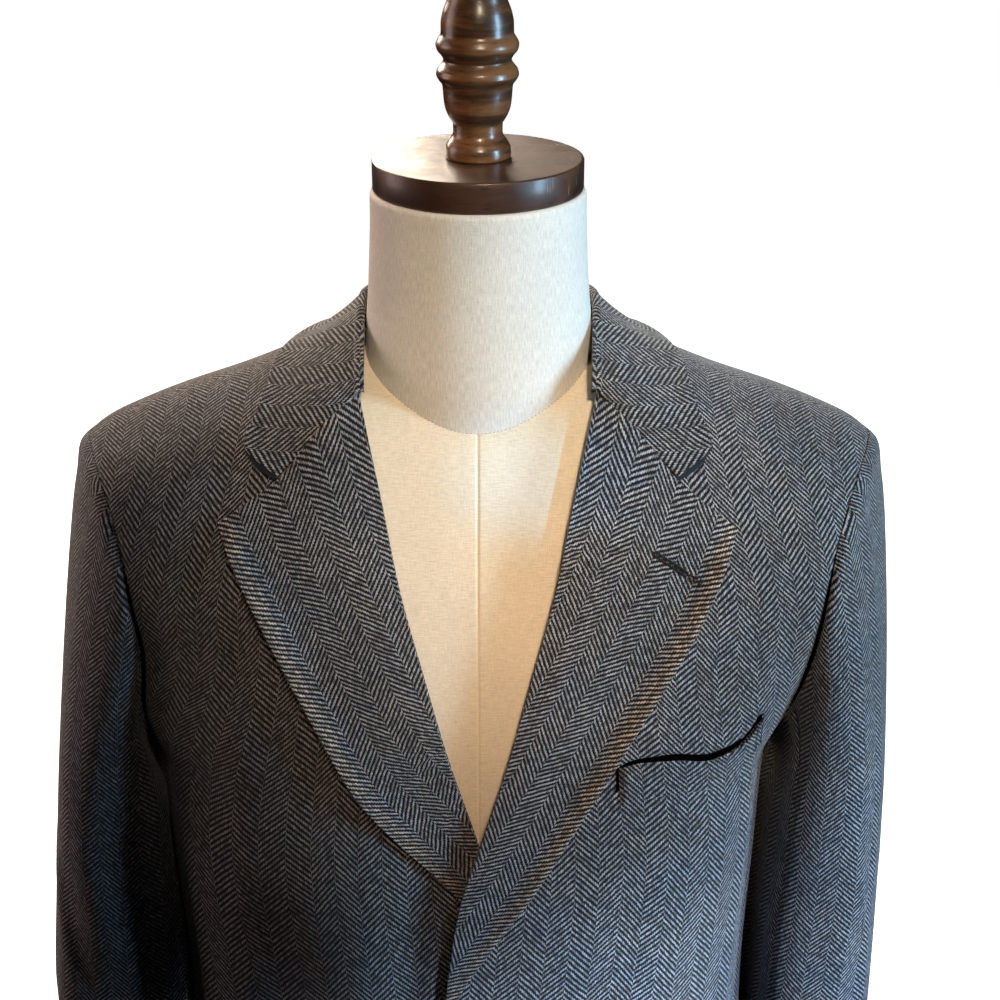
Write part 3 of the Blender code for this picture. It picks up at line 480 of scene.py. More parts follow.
def tubeWeave(grid, middleColumn):
    # the same for a sleeve, whose bands hang straight down from the crown
    heights = np.linspace(grid[..., 2].max() - 0.0005, grid[..., 2].min(), 260)
    columns = grid.shape[1]
    sections = np.full((len(heights), columns, 2), np.nan)
    for j in range(columns):
        z = grid[::-1, j, 2]
        inside = heights <= z[-1]
        for k in range(2):
            sections[inside, j, k] = np.interp(heights[inside], z, grid[::-1, j, k])
    steps = np.linalg.norm(np.diff(sections, axis=1), axis=-1)
    far = np.full((len(heights), columns), np.nan)
    far[:, middleColumn] = 0.0
    for j in range(middleColumn + 1, columns):
        far[:, j] = far[:, j - 1] + steps[:, j - 1]
    for j in range(middleColumn - 1, -1, -1):
        far[:, j] = far[:, j + 1] - steps[:, j]
    places = np.linspace(-grain["sleeveWidest"], grain["sleeveWidest"], 121)
    length = np.zeros((len(heights), len(places)))
    last = None
    for k, height in enumerate(heights):
        valid = ~np.isnan(far[k]) & ~np.isnan(sections[k, :, 0])
        if valid.sum() < 2:
            valid = np.zeros(columns, bool)
            valid[middleColumn] = True
            here = np.repeat(grid[0, middleColumn, :2][None], len(places), 0)
        else:
            here = np.stack([np.interp(places, far[k, valid], sections[k, valid, m]) for m in range(2)], -1)
        if last is not None:
            drop = heights[k - 1] - height
            steps = np.sqrt(np.sum((here - last) ** 2, -1) + drop * drop)
            reach = far[k - 1, ~np.isnan(far[k - 1])]
            known = (places > reach.min() + 0.004) & (places < reach.max() - 0.004)
            known[len(places) // 2] = True
            length[k] = length[k - 1] + np.interp(places, places[known], steps[known])
        last = here
    u = np.zeros(grid.shape[:2])
    for j in range(columns):
        known = ~np.isnan(far[:, j])
        u[:, j] = np.interp(-grid[:, j, 2], -heights[known], far[known, j])
    i = np.interp(-grid[..., 2], -heights, np.arange(len(heights)))
    v = bilinear(length, i, (u - places[0]) / (places[-1] - places[0]) * (len(places) - 1))
    return np.stack([u, -v], -1)


class Nodes:
    # a node tree, with a short way to add nodes
    def __init__(self, tree):
        self.tree = tree

    def put(self, socket, value):
        if isinstance(value, bpy.types.NodeSocket):
            self.tree.links.new(value, socket)
        else:
            socket.default_value = value

    def add(self, kind, sockets=(), output=0, **settings):
        # sockets takes values and links, in order or by name; None gives all of the outputs
        node = self.tree.nodes.new(kind)
        for name, value in settings.items():
            setattr(node, name, value)
        for key, value in sockets.items() if isinstance(sockets, dict) else enumerate(sockets):
            self.put(node.inputs[key], value)
        return node.outputs if output is None else node.outputs[output]


class Finish(Nodes):
    # a material's nodes, with short ways to mix patterns and colours
    def __init__(self, name):
        self.material = bpy.data.materials.new(name)
        self.material.use_nodes = True
        super().__init__(self.material.node_tree)
        self.shader = self.tree.nodes["Principled BSDF"]

    def math(self, operation, *values):
        return self.add("ShaderNodeMath", values, operation=operation)

    def between(self, value, low, high, start=0.0, end=1.0):
        return self.add("ShaderNodeMapRange", (value, low, high, start, end), interpolation_type="SMOOTHSTEP")

    def swayed(self, value, noise, reach):
        # the value moved either way by a noise about one half
        return self.math("MULTIPLY_ADD", self.math("SUBTRACT", noise, 0.5), reach, value)

    def mix(self, amount, first, second, blend="MIX"):
        sockets = {"Factor": amount, "A": self.opaque(first), "B": self.opaque(second)}
        return self.add("ShaderNodeMix", sockets, "Result", data_type="RGBA", blend_type=blend)

    def opaque(self, colour):
        return colour if isinstance(colour, bpy.types.NodeSocket) else (*colour, 1)

    def shaded(self, colour, amount):
        return self.mix(1.0, colour, self.combine(amount, amount, amount), "MULTIPLY")

    def places(self, kind="weave", **mapping):
        if kind == "object":
            source = self.add("ShaderNodeTexCoord", output="Object")
        else:
            source = self.add("ShaderNodeUVMap", uv_map=kind)
        sockets = {name.capitalize(): value for name, value in mapping.items()}
        return self.add("ShaderNodeMapping", {"Vector": source, **sockets})

    def noise(self, vector, scale, detail=2.0, roughness=0.5, distortion=0.0):
        sockets = {"Vector": vector, "Scale": scale, "Detail": detail}
        sockets.update({"Roughness": roughness, "Distortion": distortion})
        return self.add("ShaderNodeTexNoise", sockets)

    def separate(self, vector):
        return self.add("ShaderNodeSeparateXYZ", (vector,), None)

    def combine(self, *values):
        return self.add("ShaderNodeCombineXYZ", values)

    def bump(self, height, strength, distance):
        return self.add("ShaderNodeBump", {"Strength": strength, "Distance": distance, "Height": height})

    def finish(self, colour, roughness, normal=None, **others):
        self.put(self.shader.inputs["Base Color"], self.opaque(colour))
        self.put(self.shader.inputs["Roughness"], roughness)
        if normal is not None:
            self.put(self.shader.inputs["Normal"], normal)
        for name, value in others.items():
            self.shader.inputs[name.replace("_", " ")].default_value = value
        return self.material


tweed = {
    "band": 0.0123,
    "repeat": 0.00346,
    "dash": 0.00112,
    "wander": 0.0014,  # how far the bands and the lines stray
    "ripple": 0.0013,
    "dark": (0.0088, 0.0098, 0.0138),
    "brown": (0.0150, 0.0118, 0.0104),
    "light": (0.350, 0.330, 0.330),
    "cool": (0.312, 0.316, 0.346),
    "rim": (0.0090, 0.0060),  # painted highlight: near the free edge the cloth is painted paler and warmer, as if the edge caught warm light
    "edgeHighlightTint": (1.46, 1.25, 1.02),
}


def tweedCloth(name, edgeHighlight=False):
    made = Finish(name)
    places = made.places("weave")
    u, v, _ = made.separate(places)
    fromRim = made.math("ABSOLUTE", u)
    u = made.swayed(u, made.noise(places, 38), tweed["wander"])
    v = made.swayed(v, made.noise(places, 210), tweed["ripple"])
    band = made.math("FLOOR", made.math("DIVIDE", u, tweed["band"]))
    zigzag = made.math("PINGPONG", u, tweed["band"])
    phase = made.math("DIVIDE", made.math("ADD", v, zigzag), tweed["repeat"])
    phase = made.math("MULTIPLY_ADD", band, 0.5, phase)
    wave = made.math("COSINE", made.math("MULTIPLY", phase, 2 * math.pi))
    # each light line is a row of short floats of the pale yarn, none quite like the next
    dashes = made.math("DIVIDE", u, tweed["dash"])
    dash = made.combine(made.math("FLOOR", dashes), made.math("ROUND", phase), 0.0)
    own = made.add("ShaderNodeTexWhiteNoise", {"Vector": dash}, "Value", noise_dimensions="2D")
    floats = made.math("SINE", made.math("MULTIPLY", dashes, 2 * math.pi))
    wave = made.swayed(wave, made.noise(places, 900, 2, 0.65), 2.1)
    wave = made.math("MULTIPLY_ADD", floats, 0.40, wave)
    line = made.between(wave, -0.38, 1.10)
    fibre = made.noise(places, 1900, 2, 0.7)
    fuzz = made.between(fibre, 0.2, 0.8, 0.65, 1.35)
    bright = made.math("MULTIPLY", made.math("MULTIPLY_ADD", own, 1.05, 0.50), fuzz)
    cool = made.between(made.noise(places, 24, 3, 0.6), 0.40, 0.66)
    brown = made.between(made.noise(places, 110), 0.42, 0.62)
    light = made.shaded(made.mix(cool, tweed["light"], tweed["cool"]), bright)
    colour = made.mix(line, made.mix(brown, tweed["dark"], tweed["brown"]), light)
    colour = made.shaded(colour, made.between(made.noise(places, 13), 0.3, 0.7, 0.90, 1.10))
    # painted highlight: along the lapel's free edge the colour is lifted paler and warmer, standing in for
    # warm light on the edge
    if edgeHighlight:
        highlighted = made.mix(1.0, colour, tweed["edgeHighlightTint"], "MULTIPLY")
        colour = made.mix(made.between(fromRim, *tweed["rim"]), colour, highlighted)
    height = made.math("MULTIPLY_ADD", fibre, 0.6, made.math("MULTIPLY", line, 0.8))
    normal = made.bump(height, 0.6, 0.00035)
    return made.finish(colour, 0.93, normal, Sheen_Weight=0.16, Sheen_Roughness=0.45, Specular_IOR_Level=0.15)


canvas = {
    # painted warm light: the body's canvas is the neck's cloth painted warmer, for the warm light that falls
    # on the sloping chest
    "body": (0.88, 0.76, 0.58),
    "neck": (0.84, 0.78, 0.70),
    "thread": 0.00085,
    # how strongly the upright and the level threads show
    "bodyThreads": (0.14, 0.26),
    "neckThreads": (0.36, 0.10),
    "slub": (0.90, 0.87, 0.80),
    "speck": (0.42, 0.33, 0.23),
}


def canvasCloth(name, colour, threads):
    made = Finish(name)
    places = made.places("weave")
    u, v, _ = made.separate(places)
    pace = 2 * math.pi / canvas["thread"]
    warp, weft = (made.math("SINE", made.math("MULTIPLY", place, pace)) for place in (u, v))
    weave = made.math("MULTIPLY", warp, weft)
    along = made.noise(made.places("weave", scale=(1.0, 0.14, 1.0)), 1300, 3, 0.6)
    over = made.noise(made.places("weave", scale=(0.14, 1.0, 1.0)), 1300, 3, 0.6)
    slub = made.math("MAXIMUM", made.between(along, 0.60, 0.78), made.between(over, 0.60, 0.78))
    cloudy = made.between(made.noise(places, 24, 3, 0.55), 0.3, 0.7)
    shade = made.swayed(made.swayed(1.0, along, 2 * threads[0]), over, 2 * threads[1])
    shade = made.math("MULTIPLY_ADD", weave, 0.035, shade)
    base = made.shaded(made.mix(cloudy, tuple(0.955 * c for c in colour), colour), shade)
    base = made.mix(made.math("MULTIPLY", slub, 0.28), base, canvas["slub"])
    speck = made.between(made.noise(places, 430, 1), 0.735, 0.80)
    base = made.mix(made.math("MULTIPLY", speck, 0.4), base, canvas["speck"])
    height = made.math("ADD", made.math("MULTIPLY", weave, 0.25), made.math("ADD", along, over))
    normal = made.bump(height, 0.5, 0.0003)
    return made.finish(base, 0.88, normal, Sheen_Weight=0.08, Sheen_Roughness=0.5, Specular_IOR_Level=0.2)


def woodFinish(name, dark, light, grainScale, stretch, rough=0.34, worn=0.0):
    made = Finish(name)
    figure = made.noise(made.places("object", scale=stretch), grainScale, 5, 0.62, 0.35)
    pores = made.noise(made.places("object", scale=tuple(s * 3.2 for s in stretch)), grainScale * 2.4, 3, 0.7)
    colour = made.mix(made.between(figure, 0.32, 0.70), dark, light)
    pore = made.math("MULTIPLY", made.between(pores, 0.56, 0.72), 0.75)
    colour = made.mix(pore, colour, tuple(0.32 * c for c in dark))
    places = made.places("object")
    if worn:
        # pale scratches on one side
        slanted = made.places("object", scale=(1, 1, 0.14), rotation=(0.5, 0.35, 0.9))
        scratch = made.between(made.noise(slanted, 260, 2, 0.7), 0.66, 0.74)
        x, _, _ = made.separate(places)
        mark = made.math("MULTIPLY", scratch, made.between(x, 0.022, 0.050))
        colour = made.mix(made.math("MULTIPLY", mark, worn), colour, (0.46, 0.31, 0.20))
    smear = made.noise(places, 55, 3, 0.6)
    roughness = made.between(smear, 0.3, 0.7, rough * 0.82, rough * 1.25)
    normal = made.bump(made.math("ADD", pores, made.math("MULTIPLY", smear, 0.3)), 0.22, 0.0004)
    polish = {"Coat_Weight": 0.35, "Coat_Roughness": 0.22, "Specular_IOR_Level": 0.5}
    return made.finish(colour, roughness, normal, **polish)


def hornFinish():
    made = Finish("polishedHorn")
    places = made.places("object")
    cloud = made.noise(places, 130, 4, 0.6, 0.8)
    streak = made.noise(made.places("object", scale=(1, 1, 0.25), rotation=(0, 0.6, 0.2)), 420, 3, 0.6)
    colour = made.mix(made.between(cloud, 0.35, 0.68), (0.030, 0.017, 0.011), (0.165, 0.088, 0.042))
    pale = made.math("MULTIPLY", made.between(streak, 0.55, 0.75), 0.5)
    colour = made.mix(pale, colour, (0.31, 0.20, 0.11))
    normal = made.bump(streak, 0.15, 0.0002)
    return made.finish(colour, made.between(cloud, 0.3, 0.7, 0.24, 0.38), normal, Specular_IOR_Level=0.5)


def threadFinish(name, colour):
    made = Finish(name)
    twist = made.noise(made.places("object"), 1500, 2)
    shade = made.mix(made.between(twist, 0.35, 0.65), tuple(0.6 * c for c in colour), colour)
    normal = made.bump(twist, 0.4, 0.0002)
    return made.finish(shade, 0.75, normal, Sheen_Weight=0.1, Specular_IOR_Level=0.25)


def liningShadeFinish():
    made = Finish("pocketLiningShade")
    twill = made.noise(made.places("weave", scale=(1, 0.2, 1), rotation=(0, 0, 0.8)), 900)
    # painted shade: near black, darker than the cloth's darkest yarn, for the shade inside the pocket's mouth
    colour = made.mix(made.between(twill, 0.3, 0.7), (0.0016, 0.0016, 0.0020), (0.0030, 0.0030, 0.0038))
    return made.finish(colour, 0.95, made.bump(twill, 0.3, 0.0002), Specular_IOR_Level=0.02)


# fronts and backs
panels = {
    "spacing": 0.0040,
    "spacedAtX": 0.12,
    "columns": 62,
    "hemDrop": 0.775,
    "frontTuck": 0.0052,
    "lapX": (0.026, 0.075),
    "lapDrops": (0.170, 0.250),
    "neckRadius": 0.078,
    "ventDrop": 0.530,
    "ventLap": 0.032,
    "ventRun": 0.020,
    "ventTuck": 0.0027,
    "ventTuckX": (0.016, 0.045),
    "seamDepth": 0.0010,
    "shoulderDepth": 0.0002,
    "seamWidth": 0.0042,
    "sideFullness": 0.0215,
    "fullX": (0.095, 0.180),
    "fullDrops": (0.130, 0.245),
    "slackDrops": (0.50, 0.77),
    "slack": 0.55,
    "frontWidth": 0.20,
    "backWidth": 0.22,
}
# drop and x down the front edge, from the neck along the roll line and the overlap to the hem
frontEdge = [
    (0.000, 0.0780), (0.005, 0.0735), (0.0165, 0.0665), (0.050, 0.0560), (0.114, 0.0425), (0.168, 0.0285),
    (0.215, 0.0165), (0.266, 0.0010), (0.306, -0.0110), (0.340, -0.0165), (0.380, -0.0200), (0.640, -0.0200),
    (0.690, -0.0160), (0.725, -0.0060), (0.750, 0.0100), (0.768, 0.0320), (0.775, 0.0560),
]
frontEdgeX = smoothCurve(*np.array(frontEdge).T)
# panel, x and drop at the top, x and drop at the foot, spread, depth inwards
panelFolds = [
    ("front_left", 0.166, 0.262, 0.124, 0.500, 0.032, 0.0046),
    ("front_left", 0.096, 0.270, 0.070, 0.440, 0.026, 0.0022),
    ("front_right", 0.176, 0.095, 0.158, 0.330, 0.030, 0.0050),
    ("front_right", 0.140, 0.290, 0.098, 0.500, 0.034, 0.0036),
    ("back_left", 0.172, 0.100, 0.146, 0.420, 0.036, 0.0056),
    ("back_left", 0.090, 0.330, 0.060, 0.500, 0.040, 0.0030),
    ("back_right", 0.176, 0.120, 0.140, 0.470, 0.034, 0.0048),
    ("back_right", 0.080, 0.290, 0.066, 0.480, 0.036, 0.0034),
    # the smaller creases between them; a minus is a ridge
    ("front_left", 0.186, 0.060, 0.168, 0.260, 0.014, 0.0022),
    ("front_left", 0.150, 0.240, 0.150, 0.420, 0.016, -0.0016),
    ("front_left", 0.110, 0.420, 0.080, 0.640, 0.034, 0.0024),
    ("front_left", 0.150, 0.560, 0.142, 0.770, 0.022, -0.0022),
    ("front_right", 0.190, 0.040, 0.180, 0.210, 0.012, 0.0020),
    ("front_right", 0.152, 0.200, 0.134, 0.430, 0.018, -0.0018),
    ("front_right", 0.100, 0.330, 0.060, 0.560, 0.030, 0.0024),
    ("front_right", 0.146, 0.540, 0.150, 0.768, 0.024, -0.0020),
    ("back_left", 0.120, 0.060, 0.090, 0.260, 0.030, 0.0018),
    ("back_left", 0.140, 0.480, 0.150, 0.760, 0.024, -0.0024),
    ("back_right", 0.110, 0.080, 0.096, 0.230, 0.026, 0.0015),
    ("back_right", 0.130, 0.500, 0.142, 0.765, 0.028, -0.0026),
]


def sideFullness(x, drop):
    # the wearer's right side hangs fuller under the arm
    down = ease(drop, *panels["fullDrops"]) * (1 - panels["slack"] * ease(drop, *panels["slackDrops"]))
    return panels["sideFullness"] * ease(np.abs(x), *panels["fullX"]) * down


def underLap(x, drop):
    # how much of the under front lies below the overlap
    return (1 - ease(x, *panels["lapX"])) * ease(drop, *panels["lapDrops"])


def sideEnd(drop, side):
    if drop < armhole["drop"]:
        return float(armholeX[side](math.sqrt(drop))) - seam
    return float(jacket["halfWidth"](math.sqrt(drop)))


def bodyGrid(side, drops, fromX, toX, fractions):
    grid = []
    places = []
    for drop, start, end in zip(drops, fromX, toX):
        far = roundAt(drop, side, start)
        far = far + (roundAt(drop, side, end) - far) * fractions
        grid.append(pointsRound(drop, side, far))
        places.append(far)
    return np.array(grid), np.array(places)


def foldedIn(name, grid, drop):
    depth = np.zeros(grid.shape[:2])
    for panel, xTop, dropTop, xFoot, dropFoot, spread, deep in panelFolds:
        if panel == name:
            depth += trough(grid[..., 0], drop, (xTop, dropTop), (xFoot, dropFoot), spread, deep)
    return depth


def relieve(grid, side):
    # keeps a panel off the plane of the shoulder and side seams
    grid[..., 1] = np.where(grid[..., 1] * side < ridgeSeam, side * ridgeSeam, grid[..., 1])
    return grid


def seamRoll(*distances, top=None):
    # how far the outer face sinks beside its seams, least along the pressed shoulder seam
    nearest = np.minimum.reduce(distances)
    depth = panels["seamDepth"] * (1 - ease(nearest, 0, panels["seamWidth"]))
    if top is not None:
        depth = np.maximum(depth, panels["shoulderDepth"] * (1 - ease(top, 0, panels["seamWidth"])))
    return depth


def makeFront(name, mirrored):
    drops = evenDrops(front)
    fractions = edgedFractions(panels["columns"], panels["frontWidth"])
    end = [sideEnd(drop, front) for drop in drops]
    grid, far = bodyGrid(front, drops, frontEdgeX(drops), end, fractions)
    drop = np.broadcast_to(drops[:, None], grid.shape[:2])
    weave = bodyWeave(front, drop, far)
    top, _, _, last = gridDistances(grid)
    tuck = panels["frontTuck"] if mirrored else 0.0
    grid[..., 0] += sideFullness(grid[..., 0], drop) * mirrored
    grid[..., 1] += tuck * underLap(grid[..., 0], drop) + foldedIn(name, grid, drop)
    normal = gridNormals(grid, len(drops) // 2, 10, (0, front, 0))
    grid -= normal * seamRoll(last, top=top)[..., None]
    if not mirrored:
        grid -= normal * pocketMouth(grid[..., 0], drop)[..., None]
    relieve(grid, front)
    piece = clothPiece(name + "_cloth", grid, weave, True, mirrored, rim=0.0002)
    finishPiece(piece, finishes["tweed"], "tweed", name)
    return piece


def makeBack(name, mirrored):
    drops = evenDrops(back)
    fractions = edgedFractions(panels["columns"], panels["backWidth"])
    lap = panels["ventLap"] if mirrored else 0.0
    tuck = panels["ventTuck"] if mirrored else 0.0
    vent, run = panels["ventDrop"], panels["ventRun"]
    start = np.array([napeEdge(drop) for drop in drops]) - lap * ease(drops, vent - run, vent)
    end = [sideEnd(drop, back) for drop in drops]
    grid, far = bodyGrid(back, drops, start, end, fractions)
    drop = np.broadcast_to(drops[:, None], grid.shape[:2])
    weave = bodyWeave(back, drop, far)
    top, _, first, last = gridDistances(grid)
    grid[..., 0] += sideFullness(grid[..., 0], drop) * mirrored
    depth = tuck * ease(drop, vent - 2.5 * run, vent - run)
    grid[..., 1] -= depth * (1 - ease(grid[..., 0], *panels["ventTuckX"])) + foldedIn(name, grid, drop)
    normal = gridNormals(grid, len(drops) // 2, 10, (0, back, 0))
    centre = np.where(drop < vent, first, 1.0)
    grid -= normal * seamRoll(last, centre, top=top)[..., None]
    relieve(grid, back)
    piece = clothPiece(name + "_cloth", grid, weave, False, mirrored, rim=0.0002)
    finishPiece(piece, finishes["tweed"], "tweed", name)


def napeEdge(drop):
    # the back's inner edge: the neck seam's curve, then the centre seam
    x = np.linspace(0, panels["neckRadius"], 400)
    reach = np.hypot(*bodyPoint(x, drop, back)[:, :2].T)
    inside = x[reach < panels["neckRadius"]]
    return max(float(inside.max()) if len(inside) and reach[0] < panels["neckRadius"] else 0.0, seam)


lapel = {
    "out": 0.0024,
    "roll": 0.0046,
    "fullWidth": 0.070,
    "falloff": 1.5,
    "tuck": 0.0048,
    "gorgeDrop": 0.0146,
    "corner": (0.1114, 0.0452),
    "notchGap": 0.0004,
    "rows": 150,
    "columns": 34,
    "height": 0.34,
    "width": 0.075,
    "gorgeHeight": 0.30,
    "curl": 0.0052,
    "curlWidth": 0.017,
    "bead": 0.0006,
}
# drop and x down the free edges, from the notch to the foot
leftLapelEdge = [
    (0.0600, 0.1445),
    (0.1200, 0.1240),
    (0.1974, 0.0867),
    (0.2490, 0.0585),
    (0.3005, 0.0296),
    (0.3379, 0.0058),
    (0.3713, -0.0128),
    (0.3880, -0.0192),
]
rightLapelEdge = [
    (0.0570, 0.1448),
    (0.1135, 0.1237),
    (0.1780, 0.0968),
    (0.2345, 0.0693),
    (0.2670, 0.0453),
    (0.3060, 0.0105),
    (0.3400, -0.0110),
    (0.3700, -0.0185),
]


def evenPoints(points, places):
    points = np.asarray(points, float)
    length = lengthAlong(points)
    return np.stack([np.interp(np.asarray(places) * length[-1], length, column) for column in points.T], -1)


def coonsPatch(inner, outer, foot, head, rows, columns):
    # a grid of places filled in between four edges
    v = np.asarray(rows)[:, None, None]
    u = np.asarray(columns)[None, :, None]
    inner = evenPoints(inner, rows)[:, None]
    outer = evenPoints(outer, rows)[:, None]
    foot = evenPoints(foot, columns)[None]
    head = evenPoints(head, columns)[None]
    ruled = (1 - u) * inner + u * outer + (1 - v) * foot + v * head
    low = (1 - u) * inner[0, 0] + u * outer[0, 0]
    high = (1 - u) * inner[-1, 0] + u * outer[-1, 0]
    return ruled - (1 - v) * low - v * high


def makeLapel(name, edgeRows, tucked):
    edge = smoothCurve(*np.array(edgeRows).T)
    peak, foot = edgeRows[0][0], edgeRows[-1][0]
    rollDrops = np.linspace(foot, lapel["gorgeDrop"] + lapel["notchGap"], 200)
    roll = np.stack([frontEdgeX(rollDrops), rollDrops], -1)
    outerDrops = np.linspace(foot, peak, 200)
    outer = np.stack([edge(outerDrops), outerDrops], -1)
    head = np.array([roll[-1], lapel["corner"], outer[-1]])
    rows = edgedFractions(lapel["rows"], lapel["height"])
    columns = edgedFractions(lapel["columns"], lapel["width"])
    patch = coonsPatch(roll, outer, np.array([roll[0], outer[0]]), head, rows, columns)
    x, drop = patch[..., 0], patch[..., 1]
    width = np.linalg.norm(patch[:, -1] - patch[:, 0], axis=-1)[:, None]
    share = np.minimum(width / lapel["fullWidth"], 1)
    across = columns[None, :]
    lift = lapel["roll"] * share * (1 - across) ** lapel["falloff"] * (1 + ease(across, 0, 0.25)) / 2
    rim = outer[::4]
    fromEdge = np.linalg.norm(patch[:, :, None] - rim[None, None], axis=-1)
    nearest = fromEdge.argmin(axis=-1)
    fromEdge = fromEdge.min(axis=-1)
    fromGorge = (1 - rows)[:, None] * lapel["gorgeHeight"]
    curl = (1 - ease(fromEdge, 0, lapel["curlWidth"])) ** 1.3 * ease(fromGorge, 0, 0.02)
    curl = curl * lapel["curl"] * share
    bead = lapel["bead"] * (ease(fromEdge, 0, 0.002) - ease(fromEdge, 0.002, 0.007))
    lap = underLap(x, drop) if tucked else np.zeros_like(x)
    out = lapel["out"] + (lift + curl + bead) * (1 - lap) - lapel["tuck"] * lap
    gorge = 0.5 * panels["seamDepth"] * (1 - ease(fromGorge, 0, 0.004)) * (x < lapel["corner"][0])
    grid = raisedPoint(x, drop, front, out - gorge)
    # the bands run along the free edge
    tangent = unit(np.gradient(rim, axis=0))[nearest]
    offset = patch - rim[nearest]
    along = lengthAlong(rim)[nearest] + np.sum(offset * tangent, -1)
    away = np.abs(offset[..., 0] * tangent[..., 1] - offset[..., 1] * tangent[..., 0])
    piece = clothPiece(name + "_cloth", grid, np.stack([away, along], -1), False, tucked, rim=0.0006)
    finishPiece(piece, finishes["edgeHighlightTweed"], "tweed", name)
    return piece


collar = {
    "out": 0.0036,
    "bendOut": 0.0066,
    "foldWidth": 0.0060,
    "standInset": 0.0065,
    "standEndY": -0.020,
    "standEndDepth": 0.003,
    "length": 190,
    "standShares": (0, 0.25, 0.50, 0.75),
    "foldPoints": 9,
    "leafPoints": 22,
    "rimShares": (0.972, 0.988, 1.0),
    "curl": 0.0016,
    "endSink": 0.0007,
    "bandScale": 0.80,
    "turn": -0.68,  # how far the grain turns between two distances from the centre back
    "turnRun": (0.030, 0.112),
    "notchGap": 0.0029,
    "notchOut": 0.0022,
}
# the fold's x, y and depth below the cap, then side, x and drop of the bend and of the leaf's edge
collarStations = [
    (0.0000, 0.0740, 0.0820, back, 0.0000, 0.0270, back, 0.0000, 0.0400),
    (0.0330, 0.0660, 0.0825, back, 0.0400, 0.0230, back, 0.0460, 0.0350),
    (0.0590, 0.0420, 0.0840, back, 0.0740, 0.0100, back, 0.0870, 0.0200),
    (0.0688, 0.0180, 0.0850, back, 0.0830, 0.0030, back, 0.1040, 0.0075),
    (0.0690, -0.0040, 0.0885, front, 0.0835, 0.0000, front, 0.1140, 0.0000),
    (0.0683, -0.0220, 0.0955, front, 0.0830, 0.0050, front, 0.1190, 0.0055),
    (0.0675, -0.0400, 0.1028, front, 0.0835, 0.0130, front, 0.1235, 0.0140),
    (0.0668, -0.0548, 0.1097, front, 0.0860, 0.0220, front, 0.1292, 0.0245),
    (0.0664, -0.0625, 0.1162, front, 0.0880, 0.0304, front, 0.1108, 0.0428),
]


def neckSeamHeight(around):
    # the seam's height at an angle from the centre back
    drops = np.linspace(0, armhole["drop"], 2000)
    reach = bodyPoint(0.0, drops, back)[:, 1]
    drop = drops[reach < panels["neckRadius"]].max()
    napeHeight = float(bodyPoint(0.0, drop, back)[2])
    return napeHeight + (neckPoint - napeHeight) * ease(around, 0, math.pi / 2) + 0.001


def collarTracks():
    # smooth curves through the stations, for the four lines that a section is drawn on
    tracks = {"fold": [], "foot": [], "bend": [], "edge": []}
    for foldX, foldY, below, bendSide, bendX, bendDrop, edgeSide, edgeX, edgeDrop in collarStations:
        fold = np.array((foldX, foldY, capTop - below))
        around = math.atan2(foldX, foldY)
        radius = panels["neckRadius"] - collar["standInset"]
        foot = np.array((radius * math.sin(around), radius * math.cos(around), neckSeamHeight(around)))
        if foldY < collar["standEndY"]:
            foot = fold - np.array((0, 0, collar["standEndDepth"]))
        tracks["fold"].append(fold)
        tracks["foot"].append(foot)
        tracks["bend"].append(raisedPoint(bendX, bendDrop, bendSide, collar["bendOut"]))
        tracks["edge"].append(raisedPoint(edgeX, edgeDrop, edgeSide, collar["out"]))
    places = np.linspace(0, 1, len(collarStations))
    return {
        name: [smoothCurve(places, [point[axis] for point in track]) for axis in range(3)]
        for name, track in tracks.items()
    }


def collarSection(tracks, place):
    # up the stand, over the fold and down the leaf
    fold, foot, bend, edge = (
        np.array([float(curve(place)) for curve in tracks[name]]) for name in ("fold", "foot", "bend", "edge")
    )
    outward = unit(np.array((edge[0] - fold[0], edge[1] - fold[1], 0.0)))
    half = collar["foldWidth"] / 2
    points = [foot + (fold - half * outward - foot) * t for t in collar["standShares"]]
    for turn in np.linspace(0, math.pi, collar["foldPoints"]):
        points.append(fold - outward * half * math.cos(turn) + np.array((0, 0, half * math.sin(turn) - half)))
    shoulder = points[-1]
    t = np.concatenate((np.linspace(0, 1, collar["leafPoints"])[1:-1], collar["rimShares"]))[:, None]
    leaf = (1 - t) ** 2 * shoulder + 2 * t * (1 - t) * bend + t * t * edge
    return np.concatenate((np.array(points), leaf))


def cornerAt(first, second, fromFirst, fromSecond):
    # the point at two distances from two others, on the side away from the middle
    line = second - first
    length = np.linalg.norm(line)
    line = line / length
    run = (fromFirst**2 - fromSecond**2 + length**2) / (2 * length)
    rise = math.sqrt(max(fromFirst**2 - run**2, 0))
    return first + run * line + rise * np.array((line[1], -line[0]))


def flattened(foldLine, edgeLine):
    # the leaf laid out flat, section by section
    def span(start, end):
        return float(np.linalg.norm(end - start))

    near = [np.array((span(foldLine[0], foldLine[1]) / 2, 0.0))]
    far = [near[0] + (0, span(foldLine[0], edgeLine[0]))]
    for k in range(len(foldLine) - 1):
        fold, edge = foldLine[k + 1], edgeLine[k + 1]
        near.append(cornerAt(near[-1], far[-1], span(foldLine[k], fold), span(edgeLine[k], fold)))
        far.append(cornerAt(near[-1], far[-1], span(fold, edge), span(edgeLine[k], edge)))
    return np.array(near), np.array(far)


